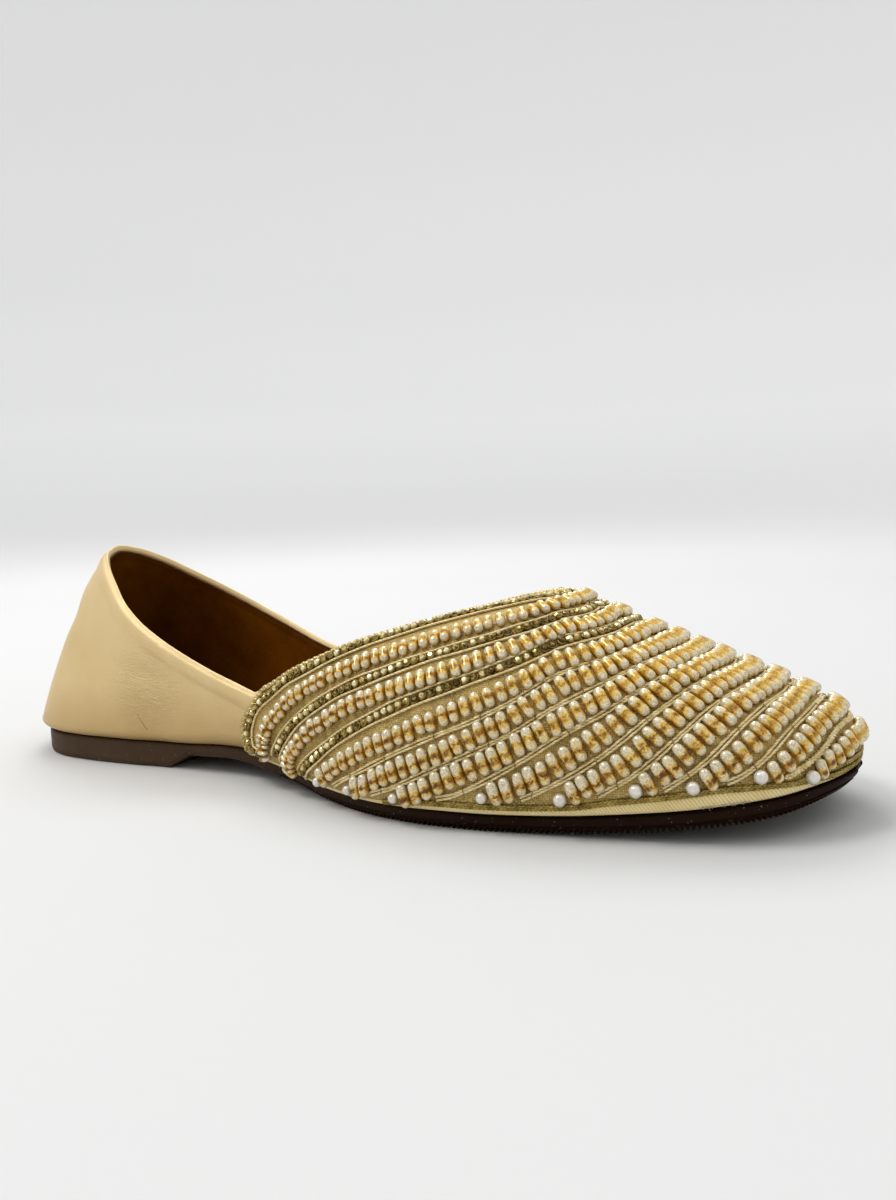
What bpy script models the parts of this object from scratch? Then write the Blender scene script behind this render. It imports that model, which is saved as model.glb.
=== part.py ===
"""A flat bridal slipper for the right foot: moulded sole, insole, one hollow upper and a beaded vamp panel.

The toe points along +X, the outer side of the foot is -Y and +Z is up. The shoe stands on Z = 0.
"""

import math

import bmesh
import bpy
import numpy as np
from mathutils.bvhtree import BVHTree

# Driving sizes, in metres
LENGTH = 0.2522
BALL_WIDTH = 0.0816
COLLAR_WIDTH = 0.0580
COLLAR_HEIGHT = 0.0638
INSTEP_HEIGHT = 0.0492
HEEL_HEIGHT = 0.0073
TOE_SPRING = 0.0080
TOE_SPRING_START = 0.174
TOE_UNDERCUT = 0.0024
TOE_SWING = 0.0030

UPPER_WALL = 0.0018
TOPLINE_ROLL = 0.0007
FEATHER_INSET = 0.0008
INSOLE_THICKNESS = 0.0025
INSOLE_CLEARANCE = 0.0005
CLEARANCE = 0.0003

PANEL_THICKNESS = 0.0010
PEARL_LENGTH = 0.0050
PEARL_WIDTH = 0.0026
STONE_WIDTH = 0.0020
STONE_HEIGHT = 0.0016
STRING_GAP = 0.0007

SOLE_EDGE_ROUND = 0.0006
GROOVE_HEIGHT = 0.0014
GROOVE_WIDTH = 0.0006
GROOVE_DEPTH = 0.0004
GROOVE_START, GROOVE_FADE = 0.45, 0.12
TUCK_START = 0.93

# Each station's place along the sole is a share of LENGTH, from heel to toe.
# Sole outline: half widths on the outer and inner side, as shares of BALL_WIDTH.
OUTLINE = (
    # along, outer, inner
    (0.000, 0.000, 0.000),
    (0.016, 0.174, 0.174),
    (0.048, 0.291, 0.289),
    (0.071, 0.329, 0.326),
    (0.099, 0.350, 0.347),
    (0.139, 0.356, 0.352),
    (0.198, 0.348, 0.338),
    (0.258, 0.327, 0.316),
    (0.357, 0.315, 0.292),
    (0.444, 0.371, 0.319),
    (0.515, 0.456, 0.380),
    (0.595, 0.527, 0.444),
    (0.634, 0.537, 0.461),
    (0.674, 0.529, 0.471),
    (0.753, 0.489, 0.469),
    (0.825, 0.444, 0.451),
    (0.888, 0.395, 0.412),
    (0.944, 0.301, 0.338),
    (0.979, 0.158, 0.218),
    (1.000, -0.037, 0.037),
)

# Sole sides: heights of the underside and the top edge, as shares of HEEL_HEIGHT, before the toe spring.
SOLE_SIDES = (
    # along, underside, top
    (0.000, 0.00, 1.00),
    (0.257, 0.00, 1.00),
    (0.287, 0.56, 1.02),
    (0.345, 0.62, 1.09),
    (0.377, 0.50, 1.06),
    (0.417, 0.36, 0.91),
    (0.456, 0.23, 0.78),
    (0.496, 0.10, 0.65),
    (0.536, 0.00, 0.56),
    (0.600, 0.00, 0.54),
    (0.900, 0.00, 0.56),
    (1.000, 0.00, 0.48),
)

# How far the upper stands out past the sole edge, and how high above the sole, as shares of BALL_WIDTH.
SWELL = (
    # along, out, up
    (0.000, 0.026, 0.034),
    (0.250, 0.026, 0.040),
    (0.400, 0.030, 0.055),
    (0.520, 0.016, 0.055),
    (0.620, 0.002, 0.050),
    (0.800, -0.008, 0.046),
    (0.920, -0.016, 0.044),
    (1.000, -0.030, 0.044),
)

# Top edge of the upper. Each row gives the place along the sole, the edge's own place along the shoe,
# its half width as a share of COLLAR_WIDTH, its height as a share of the named height, and how round the
# wall below it is, from 0 for a straight wall to 1 for a quarter ellipse.
COLLAR = (
    # along, edge_along, edge_out, edge_height of COLLAR_HEIGHT, fullness
    (0.000, 0.090, 0.000, 1.000, 0.25),
    (0.016, 0.099, 0.128, 0.977, 0.25),
    (0.048, 0.122, 0.231, 0.923, 0.25),
    (0.099, 0.156, 0.329, 0.837, 0.25),
    (0.159, 0.196, 0.428, 0.735, 0.25),
    (0.218, 0.239, 0.483, 0.638, 0.25),
    (0.278, 0.284, 0.500, 0.549, 0.25),
    (0.337, 0.338, 0.497, 0.456, 0.25),
    (0.397, 0.397, 0.503, 0.379, 0.30),
)
THROAT = (
    # along, edge_along, edge_out, edge_height of INSTEP_HEIGHT, fullness
    (0.397, 0.397, 0.503, 0.492, 0.30),
    (0.428, 0.426, 0.505, 0.545, 0.35),
    (0.460, 0.456, 0.500, 0.630, 0.45),
    (0.496, 0.492, 0.479, 0.707, 0.50),
    (0.531, 0.527, 0.448, 0.775, 0.55),
    (0.571, 0.567, 0.403, 0.835, 0.60),
    (0.611, 0.606, 0.345, 0.890, 0.70),
    (0.650, 0.643, 0.276, 0.934, 0.80),
    (0.686, 0.676, 0.195, 0.968, 0.88),
    (0.722, 0.703, 0.100, 0.993, 0.95),
    (0.753, 0.716, 0.000, 1.000, 1.00),
)
RIDGE = (
    # along, edge_along, edge_out, edge_height of INSTEP_HEIGHT, fullness
    (0.753, 0.716, 0.000, 1.000, 1.00),
    (0.813, 0.769, 0.000, 0.880, 1.00),
    (0.864, 0.813, 0.000, 0.790, 1.00),
    (0.912, 0.852, 0.000, 0.711, 1.00),
    (0.952, 0.888, 0.000, 0.642, 1.00),
    (0.983, 0.916, 0.000, 0.591, 1.00),
    (1.000, 0.936, 0.000, 0.558, 1.00),
)

# Bead strings over the ridge, from the throat to the toe. Each starts low on the outer side and is mirrored
# on the inner side. Heights are shares of the skin's height, lead is a turn past the start, and middle is a
# share of the way to the end.
RIDGE_STRINGS = (
    # kind, along, height, lead, rise, middle, middle_height, approach, end_along
    ("pearl", 0.427, 0.165, 0.002, 1.13, 0.48, 0.59, 0.82, 0.785),
    ("stone", 0.445, 0.127, 0.025, 0.92, 0.55, 0.59, 0.70, 0.797),
    ("pearl", 0.471, 0.143, 0.023, 0.77, 0.59, 0.46, 0.68, 0.813),
    ("stone", 0.490, 0.090, 0.050, 0.75, 0.60, 0.33, 0.71, 0.829),
    ("pearl", 0.515, 0.108, 0.060, 0.57, 0.62, 0.24, 0.83, 0.850),
    ("pearl", 0.561, 0.106, 0.079, 0.45, 0.56, 0.22, 0.90, 0.877),
    ("pearl", 0.616, 0.108, 0.083, 0.38, 0.55, 0.24, 0.98, 0.905),
    ("pearl", 0.702, 0.165, 0.081, 0.29, 0.45, 0.43, 0.95, 0.932),
    ("pearl", 0.771, 0.167, 0.084, 0.33, 0.32, 0.48, 0.95, 0.959),
    ("pearl", 0.836, 0.192, 0.066, 0.38, 0.30, 0.59, 0.99, 0.987),
)
# Bead strings that wrap the toe: they cross the middle in front, at end_height.
TOE_STRINGS = (
    # kind, along, height, lead, rise, middle, middle_height, approach, end_height
    ("pearl", 0.881, 0.193, 0.046, 0.30, 0.31, 0.50, 0.94, 0.900),
    ("pearl", 0.931, 0.205, 0.048, 0.28, 0.43, 0.54, 0.99, 0.640),
    ("pearl", 0.966, 0.143, 0.085, 0.35, 0.71, 0.28, 0.92, 0.305),
)
# The stone string that runs up the vamp's rear edge and along the throat to the middle.
EDGE_STRING = (
    # along, height
    (0.404, 0.110),
    (0.405, 0.350),
    (0.412, 0.620),
    (0.427, 0.820),
    (0.458, 0.895),
    (0.508, 0.930),
    (0.581, 0.957),
    (0.659, 0.968),
    (0.715, 0.971),
    (0.745, 0.962),
    (0.765, 1.000),
)

OUTER, INNER = -1, 1


def share_to_turn(along):
    """The station's turn, 0 to 1: places bunch up at heel and toe, where the outline bends most."""
    return np.arccos(1 - 2 * np.clip(along, 0, 1)) / math.pi


def turn_to_share(turn):
    return (1 - np.cos(math.pi * np.asarray(turn, float))) / 2


def smooth(places, values, at, level=()):
    """Monotone cubic through the rows of a table: it adds no bumps between them.

    Level names the end rows, 0 or -1, where the curve starts or ends level.
    """
    places = np.asarray(places, float)
    values = np.asarray(values, float)
    steps = np.diff(places)
    slopes = np.diff(values) / steps
    inner = np.zeros(len(places))
    same = slopes[:-1] * slopes[1:] > 0
    weight_low = 2 * steps[1:] + steps[:-1]
    weight_high = steps[1:] + 2 * steps[:-1]
    safe_low = np.where(same, slopes[:-1], 1)
    safe_high = np.where(same, slopes[1:], 1)
    mean = (weight_low + weight_high) / (weight_low / safe_low + weight_high / safe_high)
    inner[1:-1] = np.where(same, mean, 0)
    inner[0] = slopes[0]
    inner[-1] = slopes[-1]
    inner[list(level)] = 0
    at = np.asarray(at, float)
    k = np.clip(np.searchsorted(places, at) - 1, 0, len(steps) - 1)
    t = (at - places[k]) / steps[k]
    return (
        values[k] * (1 + 2 * t) * (1 - t) ** 2
        + inner[k] * steps[k] * t * (1 - t) ** 2
        + values[k + 1] * t**2 * (3 - 2 * t)
        - inner[k + 1] * steps[k] * t**2 * (1 - t)
    )


def column(table, index, turn, level=()):
    rows = np.array(table)
    return smooth(share_to_turn(rows[:, 0]), rows[:, index], turn, level)


def spring(x):
    """How far the toe spring lifts the sole at this x."""
    rise = np.clip((x - TOE_SPRING_START) / (LENGTH - TOE_SPRING_START), 0, None)
    return TOE_SPRING * rise**2


def sole_heights(along):
    """Heights of the sole's underside and top edge; straight between the breast's two corners."""
    rows = np.array(SOLE_SIDES)
    low = HEEL_HEIGHT * np.interp(along, rows[:, 0], rows[:, 1])
    high = HEEL_HEIGHT * smooth(rows[:, 0], rows[:, 2], along)
    lift = spring(along * LENGTH)
    return low + lift, high + lift


def outline(turn, side, out=0.0):
    """Plan point on the sole outline, moved out by a distance square to it."""
    turn = np.asarray(turn, float)
    here = outline_point(turn, side)
    step = 0.002
    ahead = outline_point(np.clip(turn + step, 0, 1), side)
    behind = outline_point(np.clip(turn - step, 0, 1), side)
    tangent = ahead - behind
    tangent /= np.linalg.norm(tangent, axis=-1, keepdims=True)
    outward = side * np.stack([-tangent[..., 1], tangent[..., 0]], axis=-1)
    return here + outward * np.asarray(out)[..., None]


def outline_point(turn, side):
    half = column(OUTLINE, 1 if side == OUTER else 2, turn) * BALL_WIDTH
    return np.stack([LENGTH * turn_to_share(turn), side * half], axis=-1)


def edge_tables():
    """The three runs of the top edge: the height its shares refer to, and the ends that cross the middle."""
    return (COLLAR, COLLAR_HEIGHT, (0,)), (THROAT, INSTEP_HEIGHT, (-1,)), (RIDGE, INSTEP_HEIGHT, (0,))


def swing(x):
    """The ridge's sideways place: the toe turns towards the inner side."""
    start = THROAT[-1][1] * LENGTH
    part = np.clip((x - start) / (LENGTH - start), 0, 1)
    return TOE_SWING * part**2


def top_edge(turn, side):
    """Point on the collar, throat or ridge above this station, and the fullness of the wall below it."""
    turn = np.asarray(turn, float)
    found = np.zeros(turn.shape + (4,))
    for table, height, middle in edge_tables():
        first, last = share_to_turn(table[0][0]), share_to_turn(table[-1][0])
        here = (turn >= first - 1e-9) & (turn <= last + 1e-9)
        at = np.clip(turn, first, last)
        x = column(table, 1, at, middle) * LENGTH
        y = side * column(table, 2, at) * COLLAR_WIDTH + swing(x)
        z = column(table, 3, at, middle) * height
        row = np.stack([x, y, z, column(table, 4, at)], axis=-1)
        found[here] = row[here]
    return found[..., :3], found[..., 3]


def ridge_slope(x):
    """Slope of the ridge line at this x. It grows from nothing along the front half of the throat."""
    rows = np.array(RIDGE)
    step = 0.0005
    places, heights = rows[:, 1] * LENGTH, rows[:, 3] * INSTEP_HEIGHT
    at = np.clip(x, places[0] + step, None)
    slope = (smooth(places, heights, at + step) - smooth(places, heights, at - step)) / (2 * step)
    start = THROAT[0][1] * LENGTH / 2 + places[0] / 2
    part = np.clip((x - start) / (places[0] - start), 0, 1)
    return slope * part**2 * (3 - 2 * part)


FOOT_SHARE = 0.16
# How far along the wall its two inner control points lie: in plan, and in height.
LOW_PLAN, HIGH_PLAN = 1 / 3, 2 / 3
PLAN_PULL, LOW_LIFT, HIGH_LIFT = 0.22, 0.22, 1 / 3
# How the skin rounds under at its foot: the way out and up to the belly, and how straight it stays below it.
FOOT_BEND, FOOT_HOLD = (0.6, 0.6, 0.2), 0.4


def bezier(a, b, c, d, t):
    t = t[..., None]
    return a * (1 - t) ** 3 + 3 * b * t * (1 - t) ** 2 + 3 * c * t**2 * (1 - t) + d * t**3


def skin(turn, height, side):
    """Point on the upper's outer skin. Height runs from 0 at the sole to 1 at the top edge or the ridge."""
    turn = np.asarray(turn, float)
    height = np.asarray(height, float)
    along = turn_to_share(turn)
    out = column(SWELL, 1, turn) * BALL_WIDTH
    up = column(SWELL, 2, turn) * BALL_WIDTH
    inset = FEATHER_INSET + np.clip(-out, 0, None)
    floor = sole_heights(along)[1] + CLEARANCE
    feather = np.concatenate([outline(turn, side, -inset), floor[..., None]], axis=-1)
    belly = np.concatenate([outline(turn, side, out), (floor + up)[..., None]], axis=-1)
    edge, fullness = top_edge(turn, side)
    rise = edge - belly
    plan, lift = LOW_PLAN * (1 - fullness), LOW_PLAN + LOW_LIFT * fullness
    start = belly + rise * np.stack([plan, plan, lift], axis=-1)
    plan, lift = HIGH_PLAN - PLAN_PULL * fullness, HIGH_PLAN + HIGH_LIFT * fullness
    end = belly + rise * np.stack([plan, plan, lift], axis=-1)
    end[..., 2] += ridge_slope(edge[..., 0]) * (end[..., 0] - edge[..., 0])
    low_a = feather + (belly - feather) * FOOT_BEND
    low_b = belly - (start - belly) * (up * FOOT_HOLD / np.maximum(start - belly, 1e-6)[..., 2])[..., None]
    foot = bezier(feather, low_a, low_b, belly, np.clip(height / FOOT_SHARE, 0, 1))
    wall = bezier(belly, start, end, edge, np.clip((height - FOOT_SHARE) / (1 - FOOT_SHARE), 0, 1))
    return np.where((height < FOOT_SHARE)[..., None], foot, wall)


COLLAR_STATIONS = 13
THROAT_STATIONS = 13
RIDGE_STATIONS = 12
FOOT_ROWS = 3
WALL_ROWS = 9
SOLE_STATIONS = 64
FIRST_SOLE_TURN = 0.022
LAST_SOLE_TURN = 0.978


def station_turns(runs):
    """Turns of the stations along the named runs, even within each run and exact at its ends."""
    counts = {"collar": COLLAR_STATIONS, "throat": THROAT_STATIONS, "ridge": RIDGE_STATIONS}
    tables = {"collar": COLLAR, "throat": THROAT, "ridge": RIDGE}
    turns = []
    for run in runs:
        first, last = share_to_turn(tables[run][0][0]), share_to_turn(tables[run][-1][0])
        turns.extend(np.linspace(first, last, counts[run], endpoint=False))
    turns.append(last)
    return np.array(turns)


def row_heights():
    foot = np.linspace(0, FOOT_SHARE, FOOT_ROWS, endpoint=False)
    return np.concatenate([foot, np.linspace(FOOT_SHARE, 1, WALL_ROWS)])


def new_mesh(name, points, faces, look):
    """One named object from points and faces, with doubled points made one and its own material."""
    mesh = bpy.data.meshes.new(name)
    shape = bmesh.new()
    corners = [shape.verts.new(point) for point in points]
    for face in faces:
        ring = [corners[i] for i in face]
        shape.faces.new(ring)
    bmesh.ops.remove_doubles(shape, verts=shape.verts, dist=1e-6)
    shape.to_mesh(mesh)
    shape.free()
    mesh.shade_smooth()
    mesh.set_sharp_from_angle(angle=math.radians(40))
    mesh.materials.append(new_material(name, *look))
    obj = bpy.data.objects.new(name, mesh)
    bpy.context.collection.objects.link(obj)
    return obj


def new_material(name, colour, roughness, metallic=0.0):
    material = bpy.data.materials.new(name)
    material.use_nodes = True
    shader = material.node_tree.nodes["Principled BSDF"]
    shader.inputs["Base Color"].default_value = (*colour, 1.0)
    shader.inputs["Roughness"].default_value = roughness
    shader.inputs["Metallic"].default_value = metallic
    return material


def both_sides(turns, heights):
    """The skin's points from the outer side round the toe to the inner side, one column for each station."""
    grid_turn, grid_height = np.meshgrid(turns, heights, indexing="ij")
    outer = skin(grid_turn, grid_height, OUTER)
    inner = skin(grid_turn, grid_height, INNER)
    if turns[-1] > 1 - 1e-9:
        toe = (outer[-1] + inner[-1]) / 2
        outer[-1] = toe
        return np.concatenate([outer, inner[-2::-1]])
    return np.concatenate([outer, inner[::-1]])


def grid_faces(columns, rows, closed):
    """Quads of a grid, wound so that they face out of the shoe."""
    faces = []
    for i in range(columns if closed else columns - 1):
        j = (i + 1) % columns
        for k in range(rows - 1):
            faces.append((i * rows + k, j * rows + k, j * rows + k + 1, i * rows + k + 1))
    return faces


def merge(points, faces):
    """Points that lie together made one, as along the ridge, with the faces renumbered."""
    keys = np.round(points / 1e-6).astype(np.int64)
    _, first, index = np.unique(keys, axis=0, return_index=True, return_inverse=True)
    index = index.reshape(-1)
    merged = []
    for face in faces:
        ring = list(dict.fromkeys(index[i] for i in face))
        if len(ring) > 2:
            merged.append(tuple(ring))
    return points[first], merged, index


def point_normals(points, faces):
    normals = np.zeros_like(points)
    for face in faces:
        ring = points[list(face)]
        square = np.cross(ring[2] - ring[0], ring[-1] - ring[1])
        for i in face:
            normals[i] += square
    return normals / np.linalg.norm(normals, axis=1, keepdims=True)


def open_edges(faces):
    """Edges with one face, in that face's direction."""
    seen = {}
    for face in faces:
        for a, b in zip(face, face[1:] + face[:1]):
            seen[(a, b)] = True
    return [edge for edge in seen if (edge[1], edge[0]) not in seen]


def thick_sheet(name, points, faces, low, high, flat, crown, look):
    """A closed sheet between two offsets of a surface. Flat points move level; crown lifts the rim's middle."""
    points, faces, index = merge(points, faces)
    normals = point_normals(points, faces)
    merged = [np.zeros(len(points)) for _ in range(4)]
    for target, source in zip(merged, (low, high, flat, crown)):
        target[index] = source
    low, high, flat, crown = merged
    level = flat > 0.5
    normals[level, 2] = 0
    normals /= np.linalg.norm(normals, axis=1, keepdims=True)
    count = len(points)
    outside = points + normals * high[:, None]
    inside = points + normals * low[:, None]
    rim = {}
    borders = open_edges(faces)
    extra = []
    for a, b in borders:
        for i in (a, b):
            if crown[i] > 0 and i not in rim:
                rim[i] = 2 * count + len(extra)
                extra.append((outside[i] + inside[i]) / 2 + [0, 0, crown[i]])
    shape = list(faces) + [tuple(i + count for i in reversed(face)) for face in faces]
    for a, b in borders:
        if a in rim and b in rim:
            shape.append((b, a, rim[a], rim[b]))
            shape.append((rim[b], rim[a], a + count, b + count))
        else:
            shape.append((b, a, a + count, b + count))
    everything = np.concatenate([outside, inside, np.array(extra).reshape(-1, 3)])
    return new_mesh(name, everything, shape, look)


def make_upper():
    turns = station_turns(("collar", "throat", "ridge"))
    heights = row_heights()
    points = both_sides(turns, heights)[:-1]
    columns, rows = points.shape[:2]
    faces = grid_faces(columns, rows, closed=True)
    row = np.tile(np.arange(rows), columns)
    along = points[..., 0].reshape(-1)
    collar_end = COLLAR[-1][1] * LENGTH
    roll = np.clip(row - (rows - 3), 0, 1) * np.clip((collar_end - along) / 0.03, 0, 1)
    low = -UPPER_WALL - TOPLINE_ROLL * roll
    high = TOPLINE_ROLL * roll * (row < rows - 1)
    flat = row == 0
    crown = (row == rows - 1) * UPPER_WALL * 0.4
    return thick_sheet(
        "upper", points.reshape(-1, 3), faces, low, high, flat, crown, ((0.62, 0.47, 0.28), 0.42)
    )


PANEL_FOOT = 0.06


def make_panel():
    """The embroidered vamp cloth, a sheet of its own over the front of the upper."""
    turns = station_turns(("throat", "ridge"))
    heights = row_heights()
    heights = np.concatenate([[PANEL_FOOT], heights[heights > PANEL_FOOT + 0.01]])
    points = both_sides(turns, heights)
    columns, rows = points.shape[:2]
    faces = grid_faces(columns, rows, closed=False)
    count = columns * rows
    low = np.full(count, CLEARANCE)
    high = np.full(count, CLEARANCE + PANEL_THICKNESS)
    none = np.zeros(count)
    return thick_sheet(
        "vamp_panel", points.reshape(-1, 3), faces, low, high, none, none, ((0.36, 0.28, 0.12), 0.7)
    )


def sole_ring(turn):
    """Corners of the sole's section at a station, up the outer side and down the inner side."""
    along = turn_to_share(turn)
    low, high = sole_heights(along)
    part = np.clip((along - GROOVE_START) / GROOVE_FADE, 0, 1) * GROOVE_DEPTH
    steps = (
        # in from the outline, height
        (SOLE_EDGE_ROUND, low),
        (0.0, low + SOLE_EDGE_ROUND),
        (0.0, low + GROOVE_HEIGHT),
        (part, low + GROOVE_HEIGHT + GROOVE_WIDTH / 2),
        (0.0, low + GROOVE_HEIGHT + GROOVE_WIDTH),
        (0.0, high - SOLE_EDGE_ROUND),
        (SOLE_EDGE_ROUND, high),
    )
    ring = []
    for side in (OUTER, INNER):
        corners = []
        for inset, z in steps:
            x, y = outline(turn, side, -inset)
            share = (high - z) / (high - low)
            tuck = np.clip((along - TUCK_START) / (1 - TUCK_START), 0, 1) ** 2
            corners.append((x - TOE_UNDERCUT * share * tuck, y, z))
        ring.extend(corners if side == OUTER else corners[::-1])
    return ring


def loft(name, rings, look):
    """A closed body through rings with the same number of corners, capped at both ends."""
    count = len(rings[0])
    points = np.array(rings).reshape(-1, 3)
    faces = []
    for i in range(len(rings) - 1):
        for k in range(count):
            m = (k + 1) % count
            a, b = i * count, (i + 1) * count
            faces.append((a + k, b + k, b + m, a + m))
    faces.append(tuple(reversed(range((len(rings) - 1) * count, len(rings) * count))))
    faces.append(tuple(range(count)))
    return new_mesh(name, points, faces, look)


def sole_turns():
    """Stations along the sole, with the breast's two corners among them."""
    turns = np.linspace(FIRST_SOLE_TURN, LAST_SOLE_TURN, SOLE_STATIONS)
    corners = share_to_turn(np.array([SOLE_SIDES[1][0], SOLE_SIDES[2][0]]))
    near = np.abs(turns[:, None] - corners).min(axis=1) > 0.004
    return np.sort(np.concatenate([turns[near], corners]))


def make_outsole():
    return loft("outsole", [sole_ring(turn) for turn in sole_turns()], ((0.055, 0.032, 0.024), 0.45))


def make_insole():
    rings = []
    for turn in np.linspace(FIRST_SOLE_TURN * 2, 1 - FIRST_SOLE_TURN * 2, 34):
        along = turn_to_share(turn)
        inset = FEATHER_INSET + max(-column(SWELL, 1, turn) * BALL_WIDTH, 0)
        inset += UPPER_WALL + INSOLE_CLEARANCE
        floor = sole_heights(along)[1] + CLEARANCE
        ring = []
        for side in (OUTER, INNER):
            corners = [
                (*outline(turn, side, -inset), floor),
                (*outline(turn, side, -inset), floor + INSOLE_THICKNESS * 0.7),
                (*outline(turn, side, -inset - 0.001), floor + INSOLE_THICKNESS),
            ]
            ring.extend(corners if side == OUTER else corners[::-1])
        rings.append(ring)
    return loft("insole", rings, ((0.28, 0.15, 0.06), 0.6))


STRING_STEP = 0.0055


def blend_points(points, t):
    """Bernstein curve through a list of control points."""
    points = np.array(points, float)
    order = len(points) - 1
    t = np.asarray(t)[:, None]
    total = 0
    for k, point in enumerate(points):
        total = total + math.comb(order, k) * t**k * (1 - t) ** (order - k) * point
    return total


def ridge_string(row, t):
    """Turn and height along a string from its outer start to the ridge."""
    kind, along, height, lead, rise, middle, middle_height, approach, end_along = row
    start, end = share_to_turn(along), share_to_turn(end_along)
    halfway = start + (end - start) * middle
    points = [(start, height), (start + lead, rise), (halfway, middle_height), (end, approach), (end, 1)]
    return blend_points(points, t)


def toe_string(row, t):
    """Turn and height along a string from its outer start to the toe's middle."""
    kind, along, height, lead, rise, middle, middle_height, approach, end_height = row
    start = share_to_turn(along)
    halfway = start + (1 - start) * middle
    points = [
        (start, height),
        (start + lead, rise),
        (halfway, middle_height),
        (approach, end_height),
        (1, end_height),
    ]
    return blend_points(points, t)


def edge_string(row, t):
    """Turn and height of the string that runs up the vamp's rear edge and along the throat."""
    rows = np.array(EDGE_STRING)
    places = np.arange(len(rows))
    at = t * places[-1]
    turn = smooth(places, share_to_turn(rows[:, 0]), at)
    return np.stack([turn, smooth(places, rows[:, 1], at)], axis=-1)


def skin_normal(turn, height, side):
    """Outward normal of the skin."""
    step = 0.001
    along = skin(np.clip(turn + step, 0, 1), height, side) - skin(np.clip(turn - step, 0, 1), height, side)
    up = skin(turn, np.clip(height + step, 0, 1), side) - skin(turn, np.clip(height - step, 0, 1), side)
    normal = np.cross(along, up) * -side
    return normal / np.linalg.norm(normal, axis=1, keepdims=True)


def string_rings(path, width, height, cloth):
    """Sections of a rib along a string, a low arch just off the cloth, on the outer side and then the inner."""
    arch = ((-0.5, 0.0), (-0.42, 0.75), (0.0, 1.0), (0.42, 0.75), (0.5, 0.0))
    halves = []
    for side in (OUTER, INNER):
        route = skin(path[:, 0], path[:, 1], side)
        heading = np.gradient(route, axis=0)
        heading[-1] = (0, -side, 0)
        heading /= np.linalg.norm(heading, axis=1, keepdims=True)
        normal = skin_normal(path[:, 0], path[:, 1], side)
        across = np.cross(normal, heading)
        across /= np.linalg.norm(across, axis=1, keepdims=True)
        rings = []
        for point, beside, square in zip(route, across, normal):
            ring = []
            for share, rise in arch:
                spot = point + beside * share * width + square * (CLEARANCE + PANEL_THICKNESS)
                below = np.array(cloth.find_nearest(spot)[0])
                ring.append(spot + square * (np.dot(below - spot, square) + STRING_GAP + rise * height))
            rings.append(ring)
        rings = np.array(rings)
        halves.append(rings if side == OUTER else rings[::-1, ::-1])
    joint = (halves[0][-1] + halves[1][0]) / 2
    return np.concatenate([halves[0][:-1], joint[None], halves[1][1:]])


def make_string(name, curve, row, width, height, cloth):
    even = np.linspace(0, 1, 200)
    route = skin(*curve(row, even).T, OUTER)
    travel = np.concatenate([[0], np.cumsum(np.linalg.norm(np.diff(route, axis=0), axis=1))])
    stations = max(6, round(travel[-1] / STRING_STEP))
    path = curve(row, np.interp(np.linspace(0, travel[-1], stations), travel, even))
    return loft(name, string_rings(path, width, height, cloth), ((0.75, 0.62, 0.42), 0.3))


def make_strings(panel):
    """Each string of beads or stones is one rib over the cloth, numbered from the throat to the toe."""
    cloth = BVHTree.FromPolygons(
        [point.co for point in panel.data.vertices], [face.vertices for face in panel.data.polygons]
    )
    sizes = {"pearl": (PEARL_LENGTH, PEARL_WIDTH), "stone": (STONE_WIDTH, STONE_HEIGHT)}
    made = {"pearl": 0, "stone": 0}
    runs = [(edge_string, ("stone",))]
    runs += [(ridge_string, row) for row in RIDGE_STRINGS]
    runs += [(toe_string, row) for row in TOE_STRINGS]
    for curve, row in runs:
        kind = row[0]
        made[kind] += 1
        make_string(f"{kind}_string_{made[kind]:02d}", curve, row, *sizes[kind], cloth)


def centre_origin():
    """Moves every piece so that the origin is under the middle of the shoe's box, on the floor."""
    corners = np.concatenate([[point.co for point in obj.data.vertices] for obj in bpy.data.objects])
    middle = (corners.min(axis=0) + corners.max(axis=0)) / 2
    for obj in bpy.data.objects:
        for point in obj.data.vertices:
            point.co.x -= middle[0]
            point.co.y -= middle[1]


def main():
    for obj in list(bpy.data.objects):
        bpy.data.objects.remove(obj, do_unlink=True)
    make_outsole()
    make_insole()
    make_upper()
    make_strings(make_panel())
    centre_origin()


main()
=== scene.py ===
"""Looks of the beaded bridal slipper: leather, cloth, beads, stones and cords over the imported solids.

The shape is worked out in the part's own coordinates, heel back at x = 0 and the outer side at -y, in metres,
and moved into the frame's by OFFSET.
"""

import math

import bpy
import numpy as np
from mathutils import Matrix, Vector


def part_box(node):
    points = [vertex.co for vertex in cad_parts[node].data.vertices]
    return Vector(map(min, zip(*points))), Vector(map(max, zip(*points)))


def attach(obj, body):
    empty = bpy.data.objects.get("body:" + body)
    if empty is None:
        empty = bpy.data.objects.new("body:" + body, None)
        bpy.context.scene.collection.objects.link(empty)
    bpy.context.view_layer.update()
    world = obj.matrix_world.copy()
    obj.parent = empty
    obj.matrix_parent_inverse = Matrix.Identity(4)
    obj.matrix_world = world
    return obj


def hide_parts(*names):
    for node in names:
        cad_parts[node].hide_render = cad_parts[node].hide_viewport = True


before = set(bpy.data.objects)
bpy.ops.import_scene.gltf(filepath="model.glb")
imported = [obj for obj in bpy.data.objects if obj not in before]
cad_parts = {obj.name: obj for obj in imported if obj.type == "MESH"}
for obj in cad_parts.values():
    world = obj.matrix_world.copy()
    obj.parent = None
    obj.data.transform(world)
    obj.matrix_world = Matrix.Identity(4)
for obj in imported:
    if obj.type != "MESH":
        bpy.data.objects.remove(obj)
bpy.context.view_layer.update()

RANDOM = np.random.default_rng(7)

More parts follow.
